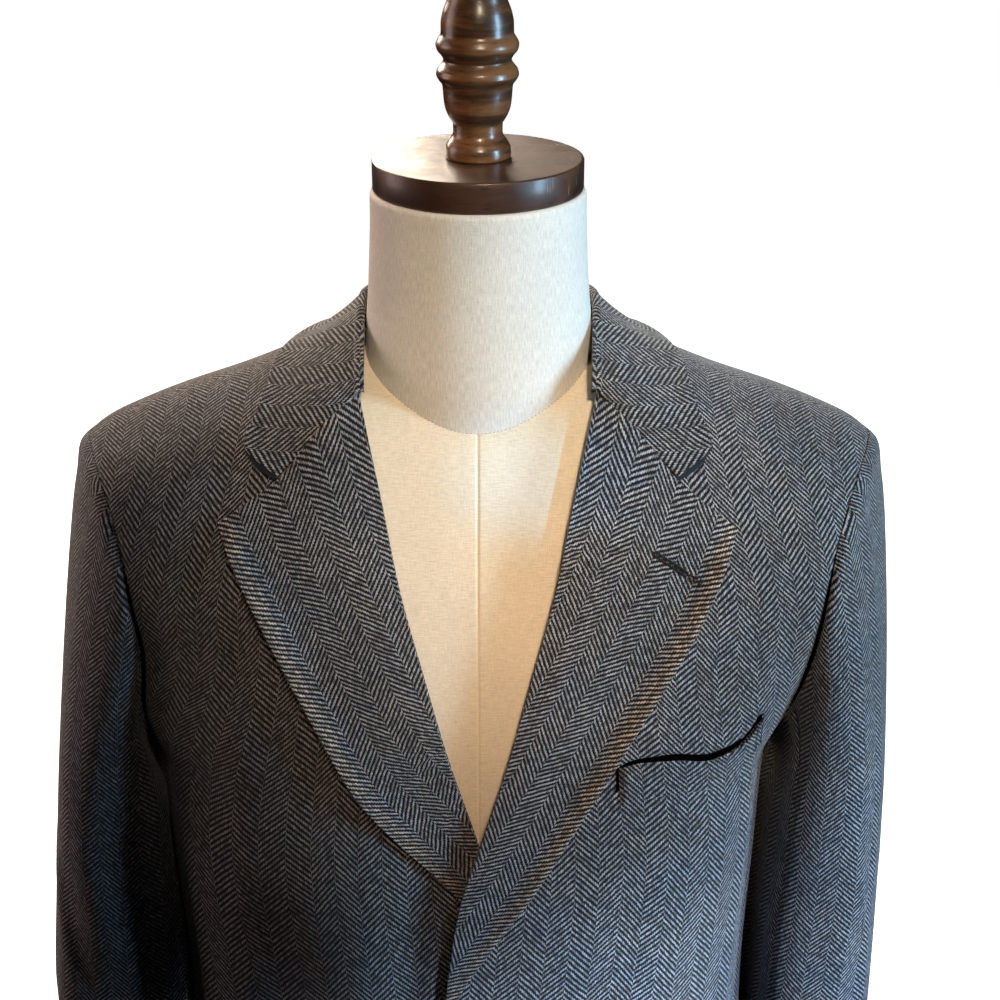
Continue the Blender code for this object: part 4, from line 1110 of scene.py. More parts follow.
def makeCollar():
    tracks = collarTracks()
    places = np.linspace(-1, 1, collar["length"])
    places = np.unique(np.concatenate((places, [-0.9975, -0.9945, 0.9945, 0.9975])))
    grid = np.array([collarSection(tracks, abs(place)) for place in places])
    grid[places < 0, :, 0] *= -1
    crest = len(collar["standShares"]) + collar["foldPoints"] // 2
    leafStart = len(collar["standShares"]) + collar["foldPoints"]
    half = len(places) // 2
    top, foot, first, last = gridDistances(grid)
    leafLength = first - first[:, crest][:, None]
    normal = gridNormals(grid, half, -4, (0, back, 0))
    onLeaf = np.arange(grid.shape[1]) >= leafStart
    fromEnd = np.minimum(top, foot)
    curl = collar["curl"] * (1 - ease(last, 0, 0.012)) * onLeaf * ease(fromEnd, 0, 0.02)
    sink = collar["endSink"] * (1 - ease(fromEnd, 0, 0.004)) * onLeaf
    grid += normal * (curl - sink)[..., None]
    # each half is flattened from the centre back, and its grain turned to lie level in front
    near, far = flattened(grid[half:, crest], grid[half:, -1])
    share = (leafLength[half:] / leafLength[half:, -1:])[..., None]
    flat = near[:, None] * (1 - share) + far[:, None] * share
    pivot = near[np.abs(near[:, 0] - sum(collar["turnRun"]) / 2).argmin()]
    turn = (collar["turn"] * ease(near[:, 0], *collar["turnRun"]))[:, None]
    ahead, outward = np.moveaxis(flat - pivot, -1, 0)
    cos, sin = np.cos(turn), np.sin(turn)
    flat = np.stack([ahead * cos + outward * sin, outward * cos - ahead * sin], -1)
    flat = (flat + pivot) * (collar["bandScale"], 1)
    weave = np.concatenate((flat[::-1] * (-1, 1), flat))
    piece = clothPiece("collar_cloth", grid, weave, True, False)
    finishPiece(piece, finishes["tweed"], "tweed", "collar")


def makeNotchFeltAndShade(label, mirrored):
    # the under collar's felt, seen as the dark slot of the notch; its near-black navy is partly the felt's
    # own colour and partly painted shadow of the collar's end in cool light
    corner, inner = np.array(collarStations[-2][-2:]), np.array(collarStations[-1][-2:])
    across = unit(np.array((inner[1] - corner[1], corner[0] - inner[0])))
    share = np.linspace(-0.02, 1.04, 30)[:, None, None]
    out = np.linspace(-0.0030, collar["notchGap"], 9)[None, :, None]
    width = np.where(out > 0, 0.55 + 0.45 * np.sin(math.pi * np.clip(share, 0, 1)), 1.0)
    places = corner + (inner - corner) * share + across * out * width
    grid = raisedPoint(places[..., 0], places[..., 1], front, collar["notchOut"])
    piece = clothPiece("notch_felt_" + label, grid, places, False, mirrored, thickness=0.0005, rim=0.0001)
    finishPiece(piece, finishes["feltAndShade"], "tweed")


sleeve = {
    "squareness": 2.3,
    "innerSquareness": 3.6,
    "innerReach": 0.0085,
    "innerBelow": (0.40, 0.50),
    "crown": 0.052,
    "fullness": 0.034,
    "fall": 0.45,
    "crowding": 1.15,
    "capRows": 44,
    "capRimShares": (0.006, 0.014),
    "tubeRows": 112,
    "seamTurn": 0.0001,
    "rimTurns": (0.0036, 0.0072),
    "roping": 0.0016,  # the fullness of the sleeve's head just below its seam
    "restGap": 0.0014,
    "restsFrom": (-0.055, -0.015),
}
# depth below the cap, centre x, centre y, half width, half depth
leftSleeve = [
    (0.400, 0.2215, 0.0020, 0.0375, 0.0860),
    (0.470, 0.2225, -0.0010, 0.0385, 0.0830),
    (0.540, 0.2230, -0.0060, 0.0385, 0.0790),
    (0.600, 0.2230, -0.0120, 0.0380, 0.0755),
    (0.680, 0.2225, -0.0240, 0.0370, 0.0690),
    (0.750, 0.2220, -0.0370, 0.0355, 0.0620),
    (0.805, 0.2220, -0.0480, 0.0350, 0.0575),
]
rightSleeve = [
    (0.400, 0.2320, 0.0020, 0.0400, 0.0850),
    (0.470, 0.2370, -0.0010, 0.0430, 0.0815),
    (0.540, 0.2410, -0.0060, 0.0460, 0.0770),
    (0.600, 0.2430, -0.0120, 0.0465, 0.0730),
    (0.680, 0.2430, -0.0240, 0.0430, 0.0670),
    (0.750, 0.2420, -0.0370, 0.0390, 0.0610),
    (0.805, 0.2410, -0.0480, 0.0365, 0.0570),
]
# sleeve, turn and level at the top, turn and level at the foot, spread, depth inwards
sleeveFolds = [
    ("left", 0.110, 0.440, 0.300, 0.640, 0.090, 0.0024),
    ("left", 0.040, 0.560, 0.220, 0.760, 0.070, 0.0030),
    ("left", -0.190, 0.420, -0.110, 0.620, 0.080, 0.0034),
    ("right", 0.150, 0.420, 0.260, 0.600, 0.080, 0.0050),
    ("right", 0.060, 0.540, 0.180, 0.720, 0.080, 0.0036),
    ("right", -0.160, 0.460, -0.090, 0.680, 0.080, 0.0030),
    # smaller creases; a minus is a ridge
    ("left", 0.200, 0.410, 0.120, 0.560, 0.040, -0.0020),
    ("left", 0.160, 0.600, 0.080, 0.720, 0.045, -0.0018),
    ("left", -0.060, 0.500, -0.140, 0.700, 0.050, -0.0016),
    ("right", 0.080, 0.420, 0.190, 0.540, 0.036, -0.0022),
    ("right", 0.220, 0.560, 0.120, 0.690, 0.045, -0.0018),
    ("right", -0.050, 0.540, -0.160, 0.740, 0.050, -0.0016),
]
# turn from and to, columns, flat width and area
sleeveParts = {"top": (0.725 - 1, 0.360, 60, 0.30, 0.150), "under": (0.360, 0.725, 34, 0.20, 0.080)}


def armholePlace(turn):
    side = front if turn < 0.5 else back
    drop = armhole["drop"] * (1 - math.cos(2 * math.pi * turn)) / 2
    return float(armholeX[side](math.sqrt(drop))), drop, side


def armholePoint(turn, label):
    x, drop, side = armholePlace(turn)
    point = bodyPoint(x, drop, side) + armhole["seam"] * armholeNormal(turn)
    if label == "right":
        point[0] += sideFullness(x, drop)
    return point


def armholeNormal(turn):
    x, drop, side = armholePlace(turn)
    return bodyNormal(x - 0.0015, drop, side)


def besideBody(points, label):
    # how far out the jacket's side reaches at these heights and depths
    drop = neckPoint - points[..., 2]
    key = np.sqrt(drop)
    depth = np.where(points[..., 1] < 0, jacket["front"](key), jacket["back"](key))
    n = jacket["squareness"](key)
    x = jacket["halfWidth"](key) * (1 - np.minimum(np.abs(points[..., 1]) / depth, 1) ** n) ** (1 / n)
    if label == "right":
        x = x + sideFullness(x, drop)
    return x


def againstBody(points, turn, label):
    # the sleeve's inner side lies against the jacket, and on the wearer's left only behind its front edge
    inner = ease(-math.cos(2 * math.pi * turn), 0.25, 0.95)
    if label == "left":
        inner = inner * ease(points[..., 1], *sleeve["restsFrom"])
    rest = besideBody(points, label) + sleeve["restGap"]
    moved = points.copy()
    moved[..., 0] = points[..., 0] + (rest - points[..., 0]) * inner
    moved[..., 0] = np.maximum(moved[..., 0], rest)
    return moved


def tubePoint(curves, below, turn, label):
    # points of the sleeve's tube at one turn round it
    angle = 2 * math.pi * turn
    inner = math.cos(angle) < 0 < math.sin(angle)
    power = 2 / sleeve["innerSquareness" if inner else "squareness"]
    across = math.copysign(abs(math.cos(angle)) ** power, math.cos(angle))
    ahead = math.copysign(abs(math.sin(angle)) ** power, math.sin(angle))
    x = curves[0](below) + curves[2](below) * across
    if label == "left" and inner:
        x = x + sleeve["innerReach"] * across * ahead * ease(below, *sleeve["innerBelow"])
    y = curves[1](below) - curves[3](below) * ahead
    return againstBody(np.stack([x, y, capTop - np.asarray(below)], -1), turn, label)


def sleeveColumn(label, curves, turn, topLevel, cuffLevel):
    # from the armhole's seam over the cap to the tube, and down to the cuff
    crown = max(math.cos(2 * math.pi * turn), 0.0)
    start = armholePoint(turn % 1.0, label)
    end = tubePoint(curves, topLevel, turn, label)
    below = tubePoint(curves, topLevel + 0.02, turn, label)
    reach = start[2] - end[2]
    leave = np.array((sleeve["crown"] * crown, 0.0, -sleeve["fall"] * reach))
    leave[:2] += sleeve["fullness"] * (1 - crown) * armholeNormal(turn % 1.0)[:2]
    arrive = (below - end) / np.linalg.norm(below - end) * reach
    t = np.linspace(0, 1, sleeve["capRows"] + 1) ** sleeve["crowding"]
    t = np.sort(np.concatenate((t, sleeve["capRimShares"])))[:, None]
    cap = hermite(t, start, leave, end, arrive)
    levels = np.linspace(topLevel, cuffLevel, sleeve["tubeRows"] + 1)[1:]
    levels = np.sort(np.concatenate((levels, cuffLevel - rimSteps)))
    tube = tubePoint(curves, levels, turn, label)
    inward = [curves[0](levels) - tube[:, 0], curves[1](levels) - tube[:, 1], np.zeros(len(levels))]
    depth = np.zeros(len(levels))
    for name, turnTop, levelTop, turnFoot, levelFoot, spread, deep in sleeveFolds:
        if name == label:
            depth += trough(turn, levels, (turnTop, levelTop), (turnFoot, levelFoot), spread, deep)
    return np.concatenate((cap, tube + unit(np.stack(inward, -1)) * depth[:, None]))


def sleeveGrid(label, rows, turns):
    columns = np.array(rows).T
    curves = [smoothCurve(columns[0], column) for column in columns[1:]]
    return np.stack([sleeveColumn(label, curves, turn, rows[0][0], rows[-1][0]) for turn in turns], 1)


def makeSleeve(label, rows):
    # both parts in one go round, so that the bands are read from the same crown line
    spans = []
    for turnFrom, turnTo, count, _, _ in sleeveParts.values():
        even = np.linspace(turnFrom + sleeve["seamTurn"], turnTo - sleeve["seamTurn"], count)
        close = np.array(sleeve["rimTurns"])
        spans.append(np.unique(np.concatenate((even, turnFrom + close, turnTo - close))))
    turns = np.concatenate(spans)
    whole = sleeveGrid(label, rows, turns)
    wholeWeave = tubeWeave(whole, int(np.abs(turns).argmin()))
    split = len(spans[0])
    for part, run in (("top", slice(0, split)), ("under", slice(split, None))):
        grid = whole[:, run].copy()
        top, _, first, last = gridDistances(grid)
        middle = grid.shape[1] // 2
        outward = grid[-20, middle, :2] - grid[-20, :, :2].mean(axis=0)
        normal = gridNormals(grid, -20, middle, (*outward, 0))
        upper = ease(np.cos(2 * math.pi * turns[run]), -0.2, 0.7)[None, :]
        roping = sleeve["roping"] * upper * ease(top, 0, 0.007) * (1 - ease(top, 0.007, 0.026))
        grid += normal * (roping - seamRoll(top, first, last))[..., None]
        name = "sleeve_" + label + "_" + part
        piece = clothPiece(name + "_cloth", grid, wholeWeave[:, run], False, label == "right")
        finishPiece(piece, finishes["tweed"], "tweed", name)


welt = {
    "x": (0.0803, 0.1662),
    "height": (0.0262, 0.0250),
    "slant": 0.0012,
    "width": 0.088,
    "rows": 20,
    "columns": 92,
    "gape": 0.0026,
    "mouthDepth": 0.0036,
    "wall": 0.0010,
    "slot": 0.0030,  # how much of the lining shows above the welt and beside its inner end; the lining is painted near black as the mouth's shade
    "slotSide": 0.0013,
}
# x and drop along the welt's upper edge, which sags and turns up at its outer end
weltTop = smoothCurve(
    [0.0803, 0.0940, 0.1133, 0.1314, 0.1436, 0.1529, 0.1587, 0.1625, 0.1665],
    [0.2174, 0.2132, 0.2119, 0.2140, 0.2113, 0.2072, 0.2015, 0.1935, 0.1860],
)
flap = {
    "x": (0.062, 0.166),
    "topDrops": (0.520, 0.552),
    "height": 0.056,
    "width": 0.10,
    "out": 0.0008,
    "crowding": 1.4,
    "rows": 18,
    "columns": 52,
}


def pocketMouth(x, drop):
    # the front sinks behind the welt, so that the mouth is open and dark
    inside = ease(x, welt["x"][0], welt["x"][0] + 0.006) * (1 - ease(x, welt["x"][1] - 0.003, welt["x"][1]))
    below = drop - weltTop(x)
    return welt["mouthDepth"] * inside * ease(below, -0.0030, 0.0015) * (1 - ease(below, 0.012, 0.022))


def flapGrid():
    along = edgedFractions(flap["columns"], flap["width"])
    up = edgedFractions(flap["rows"], flap["height"])
    x = flap["x"][1] - (flap["x"][1] - flap["x"][0]) * (1 - along) ** flap["crowding"]
    topDrop = flap["topDrops"][0] + (flap["topDrops"][1] - flap["topDrops"][0]) * along
    drop = topDrop[None, :] + flap["height"] * (1 - up)[:, None]
    return np.broadcast_to(x[None, :], drop.shape), drop, np.full(drop.shape, flap["out"] + cloth)


def weltGrid():
    along = edgedFractions(welt["columns"], welt["width"])
    up = edgedFractions(welt["rows"], welt["height"][1])
    x = welt["x"][0] + (welt["x"][1] - welt["x"][0]) * along
    height = welt["height"][0] + (welt["height"][1] - welt["height"][0]) * along
    drop = weltTop(x)[None, :] + height[None, :] * (1 - up)[:, None]
    x = x[None, :] + welt["slant"] * (1 - up)[:, None]
    sag = np.sin(math.pi * np.clip(along, 0, 0.96))[None, :] ** 0.6
    return x, drop, 0.0001 + welt["wall"] + welt["gape"] * ease(up, 0.25, 1.0)[:, None] * sag


def makePocketLining():
    # a lining strip in the pocket's mouth and beside the welt's inner end, painted near black: painted shade
    # of the narrow mouth
    along = np.linspace(0, 1, 80)
    down = np.linspace(0, 1, 14)
    left, right = welt["x"]
    x = left - welt["slotSide"] + (right - left + welt["slotSide"] - 0.001) * along
    opened = 0.25 * ease(along, 0, 0.03) + 0.75 * ease(along, 0.05, 0.45)
    slot = welt["slot"] * opened * (1 - 0.6 * ease(along, 0.90, 1.0))
    drop = (weltTop(x) - slot)[None, :] + (0.016 - 0.008 * ease(along, 0, 0.10))[None, :] * down[:, None]
    x = np.broadcast_to(x[None, :], drop.shape)
    grid = raisedPoint(x, drop, front, 0.0006 - 0.8 * pocketMouth(x, drop))
    weave = np.stack([x, -drop], -1)
    piece = clothPiece("pocket_lining", grid, weave, True, False, thickness=0.0005, rim=0.0001)
    finishPiece(piece, finishes["lining"], "tweed")


def makePatch(name, places, mirrored, wall=cloth):
    # a welt or a flap, its bands in line with the front's
    x, drop, out = places
    grid = raisedPoint(x, drop, front, out)
    coarse = np.arange(0, len(x), 6)
    far = np.array([[roundAt(drop[i, j], front, x[i, j]) for i in coarse] for j in range(x.shape[1])])
    far = np.stack([np.interp(np.arange(len(x)), coarse, column) for column in far], 1)
    weave = bodyWeave(front, drop, far)
    _, _, low, high = gridDistances(grid)
    sink = 0.0006 * (1 - ease(np.minimum(low, high), 0, 0.003))
    grid -= bodyNormal(x, drop, front) * sink[..., None]
    piece = clothPiece(name + "_cloth", grid, weave, False, mirrored, wall, rim=0.0004)
    finishPiece(piece, finishes["tweed"], "tweed", name)
    return piece


# the dress form
torso = {
    "rest": 0.0008,  # how far the form's shoulders lie below the cloth
    "bottom": 0.104,
    "crowdedDrop": 0.16,  # above it the rings lie closer
    "points": 220,
    "seamDepth": 0.0011,
    "seamWidth": 0.0007,
}
neck = {
    "steps": 128,
    # height from the cap's top, radius
    "profile": [
        (-0.0176, 0.0000),
        (-0.0176, 0.0600),
        (-0.0186, 0.0611),
        (-0.0200, 0.0616),
        (-0.0350, 0.0619),
        (-0.0550, 0.0629),
        (-0.0780, 0.0643),
        (-0.1000, 0.0663),
        (-0.1200, 0.0675),
        (-0.1500, 0.0676),
        (-0.1800, 0.0650),
    ],
}


def makeTorso():
    topZ = neckPoint - cloth - torso["rest"]
    crowded = torso["crowdedDrop"]
    drops = np.linspace(crowded, topZ - torso["bottom"], 92)[1:]
    drops = np.concatenate((0.0004 + crowded * np.linspace(0, 1, 60) ** 2, drops))
    turns = np.linspace(-1, 1, torso["points"] // 2 + 1)
    close = np.array([-0.0020, -0.0013, -0.0008, -0.0004, 0.0004, 0.0008, 0.0013, 0.0020])
    rings = []
    for drop in drops:
        ring = []
        for side in (front, back):
            widest = levelOutline(drop, side, form)[-1][-1]
            places = np.sort(np.concatenate((turns * widest, close)))
            if side == back:
                places = places[-2:0:-1]
            ring.append(pointsRound(drop, side, places, form, topZ))
        rings.append(np.concatenate(ring))
    rings = np.array(rings)
    half = rings.shape[1] // 2
    rounds = np.linalg.norm(np.diff(rings, axis=1), axis=-1)
    u = np.concatenate((np.zeros((len(drops), 1)), np.cumsum(rounds, axis=1)), axis=1)
    u -= u[:, half // 2][:, None]
    downs = np.linalg.norm(np.diff(rings, axis=0), axis=-1).mean(axis=1)
    v = np.concatenate(([0.0], np.cumsum(downs)))
    weave = np.stack([u, np.broadcast_to(-v[:, None], u.shape)], -1)
    # seams down the centre front and the centre back
    normal = gridNormals(rings, 60, half // 2, (0, front, 0))
    groove = torso["seamDepth"] * np.exp(-((rings[..., 0] / torso["seamWidth"]) ** 2))
    rings -= normal * (groove * ease(drops, 0.004, 0.012)[:, None])[..., None]
    count = rings.shape[1]
    faces = gridFaces(len(drops), count, False, closed=True)
    last = (len(drops) - 1) * count
    for j in range(count // 2):
        ladder = list(dict.fromkeys([j, j + 1, count - j - 1, (count - j) % count]))
        faces.append(tuple(ladder[::-1]))
        faces.append(tuple(last + k for k in ladder))
    piece = orient(linkMesh("form_body", rings, faces, weave))
    return finishPiece(piece, finishes["bodyCanvasPaintedWarm"], "canvas", "form_torso")


def orient(piece):
    # welds the piece and turns its faces outwards
    shape = bmesh.new()
    shape.from_mesh(piece.data)
    bmesh.ops.remove_doubles(shape, verts=shape.verts, dist=0.000005)
    bmesh.ops.recalc_face_normals(shape, faces=shape.faces)
    shape.to_mesh(piece.data)
    shape.free()
    return piece


def lathe(name, profile, steps, levelZ):
    # a turned piece with its own map: round it and along its profile
    profile = np.array(profile, float)
    turns = np.linspace(0, 2 * math.pi, steps, endpoint=False)
    height, radius = profile[:, :1], profile[:, 1:]
    down = -lengthAlong(profile)[:, None]
    x, y, z, u, v = np.broadcast_arrays(
        radius * np.cos(turns), radius * np.sin(turns), levelZ + height, turns * radius.max(), down
    )
    faces = gridFaces(len(profile), steps, closed=True)
    return orient(linkMesh(name, np.stack([x, y, z], -1), faces, np.stack([u, v], -1)))


def fineProfile(rows, spacing):
    # the turned profile re-read closely through a smooth curve, sharp corners kept
    rows = np.array(rows, float)
    length = lengthAlong(rows)
    places = np.unique(np.concatenate((np.arange(0, length[-1], spacing), length)))
    return np.stack([smoothCurve(length, column)(places) for column in rows.T], -1)


def makeNeck():
    profile = np.concatenate(([neck["profile"][0]], fineProfile(neck["profile"][1:], 0.004)))
    piece = lathe("form_neck", profile, neck["steps"], capTop)
    finishPiece(piece, finishes["neckCanvas"], "canvas")


# turned wood: height and radius down each piece
finialProfile = [
    (0.1120, 0.0000),
    (0.1112, 0.0040),
    (0.1085, 0.0078),
    (0.1040, 0.0108),
    (0.0985, 0.0132),
    (0.0925, 0.0150),
    (0.0861, 0.0168),
    (0.0802, 0.0190),
    (0.0742, 0.0201),
    (0.0690, 0.0202),
    (0.0658, 0.0219),
    (0.0628, 0.0231),
    (0.0598, 0.0224),
    (0.0568, 0.0200),
    (0.0543, 0.0189),
    (0.0519, 0.0203),
    (0.0489, 0.0225),
    (0.0464, 0.0230),
    (0.0434, 0.0216),
    (0.0409, 0.0198),
    (0.0378, 0.0194),
    (0.0336, 0.0191),
    (0.0286, 0.0184),
    (0.0242, 0.0168),
    (0.0211, 0.0150),
    (0.0195, 0.0140),
    (0.0142, 0.0139),
    (0.0123, 0.0146),
    (0.0092, 0.0168),
    (0.0060, 0.0184),
    (0.0022, 0.0187),
    (0.0003, 0.0183),
    (0.0003, 0.0000),
]
capProfile = [
    (0.0000, 0.0000),
    (0.0000, 0.0580),
    (0.0000, 0.0590),
    (-0.0003, 0.0597),
    (-0.0010, 0.0600),
    (-0.0163, 0.0600),
    (-0.0170, 0.0597),
    (-0.0173, 0.0590),
    (-0.0173, 0.0000),
]
postProfile = [
    (0.0810, 0.0000),
    (0.0810, 0.0300),
    (0.0770, 0.0310),
    (0.0730, 0.0280),
    (0.0690, 0.0200),
    (0.0640, 0.0190),
    (0.0180, 0.0190),
    (0.0130, 0.0210),
    (0.0090, 0.0300),
    (0.0040, 0.0340),
    (0.0000, 0.0340),
    (0.0000, 0.0000),
]
baseProfile = [
    (0.0220, 0.0000),
    (0.0220, 0.1500),
    (0.0205, 0.1535),
    (0.0180, 0.1550),
    (0.0165, 0.1590),
    (0.0130, 0.1630),
    (0.0080, 0.1650),
    (0.0030, 0.1645),
    (0.0000, 0.1620),
    (0.0000, 0.0000),
]


def makeWood():
    finial = fineProfile(finialProfile[:-1], 0.0012).tolist() + finialProfile[-1:]
    for name, profile, steps, level, finish, node in (
        ("turned_finial", finial, 72, capTop, "finialWood", "finial"),
        ("turned_cap", capProfile, 128, capTop, "capWood", "neck_cap"),
        ("turned_post", postProfile, 72, 0.0223, "footWood", "post"),
        ("turned_foot", baseProfile, 144, 0.0, "footWood", "base"),
    ):
        finishPiece(lathe(name, profile, steps, level), finishes[finish], "dark_wood", node)


button = {
    "drops": {"top": 0.390, "middle": 0.490, "bottom": 0.590},
    "radius": 0.0115,
    "height": 0.0036,
    "seat": 0.0005,
    "holeOut": 0.0021,
    "holeRadius": 0.0009,
    "steps": 48,
    "threadRadius": 0.00032,
    "threadShift": 0.0004,
    # height and radius of the turned face, as shares of the button's own
    "profile": [
        (0, 0.86), (0.12, 0.94), (0.40, 1), (0.72, 0.985), (0.93, 0.93),
        (1, 0.86), (0.97, 0.79), (0.78, 0.70), (0.66, 0.60), (0.62, 0.40),
    ],
    # a thread from one hole to the opposite one: how far out, and how high in the button
    "run": [(1, 0.30), (0.96, 0.66), (0.6, 0.80), (0, 0.86), (-0.6, 0.80), (-0.96, 0.66), (-1, 0.30)],
}


def drillHoles(disc, places):
    shape = bmesh.new()
    radius = button["holeRadius"]
    for place in places:
        made = bmesh.ops.create_cone(
            shape, cap_ends=True, segments=16, radius1=radius, radius2=radius, depth=0.012
        )
        bmesh.ops.translate(shape, verts=made["verts"], vec=place)
    drill = addObject("drill", bpy.data.meshes.new("drill"))
    shape.to_mesh(drill.data)
    shape.free()
    cut = disc.modifiers.new("holes", "BOOLEAN")
    cut.operation = "DIFFERENCE"
    cut.object = drill
    settle(disc)
    bpy.data.objects.remove(drill)


def sewnThread(name, places):
    # two crossed pairs of thread through the holes
    curve = bpy.data.curves.new("thread", "CURVE")
    curve.dimensions = "3D"
    curve.bevel_depth = button["threadRadius"]
    curve.bevel_resolution = 1
    out, up = np.array(button["run"]).T[:, :, None]
    for place in places[:2]:
        sideways = unit(np.array((-place[1], place[0], 0.0))) * button["threadShift"]
        for shift in (-1, 1):
            points = out * place + shift * sideways + up * (0, 0, button["height"])
            spline = curve.splines.new("POLY")
            spline.points.add(len(points) - 1)
            for given, point in zip(spline.points, points):
                given.co = (*point, 1)
    draft = addObject("thread", curve)
    bpy.context.view_layer.update()
    mesh = bpy.data.meshes.new_from_object(draft.evaluated_get(bpy.context.evaluated_depsgraph_get()))
    bpy.data.objects.remove(draft)
    return addObject(name, mesh)


def makeButton(label, drop):
    profile = np.array(button["profile"]) * (button["height"], button["radius"])
    face = fineProfile(profile, 0.0006).tolist()
    disc = lathe("horn_button_" + label, [(0, 0), *face, (profile[-1][0], 0)], button["steps"], 0.0)
    holes = [
        np.array((math.cos(turn), math.sin(turn), 0.0)) * button["holeOut"]
        for turn in math.pi / 4 + np.arange(4) * math.pi / 2
    ]
    drillHoles(disc, holes)
    thread = sewnThread("button_thread_" + label, holes)
    # both are made lying at the origin, then set on the front
    seat = Vector(bodyNormal(0.0, drop, front)).to_track_quat("Z", "Y").to_matrix().to_4x4()
    seat.translation = Vector(raisedPoint(0.0, drop, front, button["seat"]))
    for piece in (disc, thread):
        piece.data.transform(seat)
    finishPiece(disc, finishes["horn"], "horn", "button_" + label)
    finishPiece(thread, finishes["thread"], "horn")


buttonhole = {
    "lapelFrom": (0.0976, 0.0857),  # x and drop of its two ends
    "lapelTo": (0.1213, 0.0953),
    "frontX": (0.0030, 0.0235),
    "lip": 0.0012,
    "raised": 0.0003,
    "pitch": 0.00080,
    "length": 0.0019,
    "width": 0.00095,
    "knotOut": 0.00030,
    "knotLength": 0.00075,
    "knotWidth": 0.00055,
}
seamStitch = {
    "neckReach": 0.0668,
    "pitch": 0.0023,
    "pickEnds": ((0.1117, 0.0507), (0.1331, 0.0620)),  # x and drop
    "pickPitch": 0.0016,
    "length": 0.0012,
    "width": 0.00042,
    "tackPitch": 0.0014,
    "tackLength": 0.0013,
    "tackWidth": 0.0006,
}


def stitchRule():
    # sets a short thread on every point of a row, turned to the row's own two directions
    rule = bpy.data.node_groups.new("stitchRow", "GeometryNodeTree")
    for label, kind, value in (
        ("Row", "Geometry", None),
        ("Length", "Float", 0.001),
        ("Width", "Float", 0.0005),
        ("Jitter", "Float", 0.1),
        ("Seed", "Int", 1),
        ("Thread", "Material", None),
    ):
        socket = rule.interface.new_socket(label, in_out="INPUT", socket_type="NodeSocket" + kind)
        if value is not None:
            socket.default_value = value
    rule.interface.new_socket("Stitches", in_out="OUTPUT", socket_type="NodeSocketGeometry")
    add = Nodes(rule).add
    given = add("NodeGroupInput", output=None)
    length, width, jitter = (given[label] for label in ("Length", "Width", "Jitter"))
    thread = add("GeometryNodeMeshUVSphere", {"Segments": 6, "Rings": 4, "Radius": 0.5})
    read = "GeometryNodeInputNamedAttribute"
    along = add(read, {"Name": "along"}, "Attribute", data_type="FLOAT_VECTOR")
    facing = add(read, {"Name": "facing"}, "Attribute", data_type="FLOAT_VECTOR")
    turned = add("FunctionNodeAxesToRotation", (along, facing), primary_axis="X", secondary_axis="Z")
    least = add("ShaderNodeMath", (jitter, -1.0), operation="MULTIPLY")
    limits = {"Min": least, "Max": jitter, "Seed": given["Seed"]}
    shake = add("FunctionNodeRandomValue", limits, "Value", data_type="FLOAT")
    lean = add("FunctionNodeEulerToRotation", (add("ShaderNodeCombineXYZ", {"Z": shake}),))
    turn = add("FunctionNodeRotateRotation", (turned, lean), rotation_space="LOCAL")
    longer = add("ShaderNodeMath", (shake, length, length), operation="MULTIPLY_ADD")
    size = add("ShaderNodeCombineXYZ", (longer, width, width))
    sockets = {"Points": given["Row"], "Instance": thread, "Rotation": turn, "Scale": size}
    real = add("GeometryNodeRealizeInstances", (add("GeometryNodeInstanceOnPoints", sockets),))
    painted = add("GeometryNodeSetMaterial", {"Geometry": real, "Material": given["Thread"]})
    add("NodeGroupOutput", (painted,), None)
    return rule


def sewRow(name, row, finish, length, width, jitter, seed, slotName="tweed"):
    points, along, facing = (np.asarray(values, float) for values in row)
    piece = linkMesh(name, points, [])
    for label, values in (("along", along), ("facing", facing)):
        kept = piece.data.attributes.new(label, "FLOAT_VECTOR", "POINT")
        kept.data.foreach_set("vector", values.astype(np.float32).ravel())
    sewing = piece.modifiers.new("stitches", "NODES")
    sewing.node_group = stitchRow
    given = {"Length": length, "Width": width, "Jitter": jitter, "Seed": seed, "Thread": finishes[finish]}
    for item in stitchRow.interface.items_tree:
        if item.in_out == "INPUT" and item.name in given:
            sewing[item.identifier] = given[item.name]
    settle(piece)
    return finishPiece(piece, finishes[finish], slotName)


def onSurface(piece, points):
    # the nearest places on a piece, and the way it faces there
    found = [piece.closest_point_on_mesh(Vector(point)) for point in points]
    return np.array([tuple(hit[1]) for hit in found]), np.array([tuple(hit[2]) for hit in found])


def lineOn(piece, start, end, pitch):
    # evenly spaced places on a piece along a line given in x and drop, with its two directions
    begin, finish = (raisedPoint(x, drop, front, 0.012) for x, drop in (start, end))
    count = max(int(np.linalg.norm(finish - begin) / pitch), 2)
    points, facing = onSurface(piece, begin + (finish - begin) * np.linspace(0, 1, count)[:, None])
    points = points + buttonhole["raised"] * facing
    return points, unit(np.gradient(points, axis=0)), facing


def joined(rows):
    return [np.concatenate(parts) for parts in zip(*rows)]


def sewButtonhole(name, piece, start, end):
    # purl stitches over both lips of the slit, their knots along it, and a bar at its inner end
    points, along, facing = lineOn(piece, start, end, buttonhole["pitch"])
    sideways = np.cross(facing, along)
    rows = [(points + lip * buttonhole["lip"] * sideways, sideways, facing) for lip in (-1, 1)]
    bar = points[-1] + along[-1] * np.linspace(-0.0002, 0.0010, 3)[:, None]
    rows.append((bar, np.repeat(sideways[-1:], 3, 0), np.repeat(facing[-1:], 3, 0)))
    sewRow(name, joined(rows), "holeThread", buttonhole["length"], buttonhole["width"], 0.16, 3)
    rows = [(points + lip * buttonhole["knotOut"] * sideways, along, facing) for lip in (-1, 1)]
    knots = name + "_knots"
    sewRow(knots, joined(rows), "holeThread", buttonhole["knotLength"], buttonhole["knotWidth"], 0.2, 7)


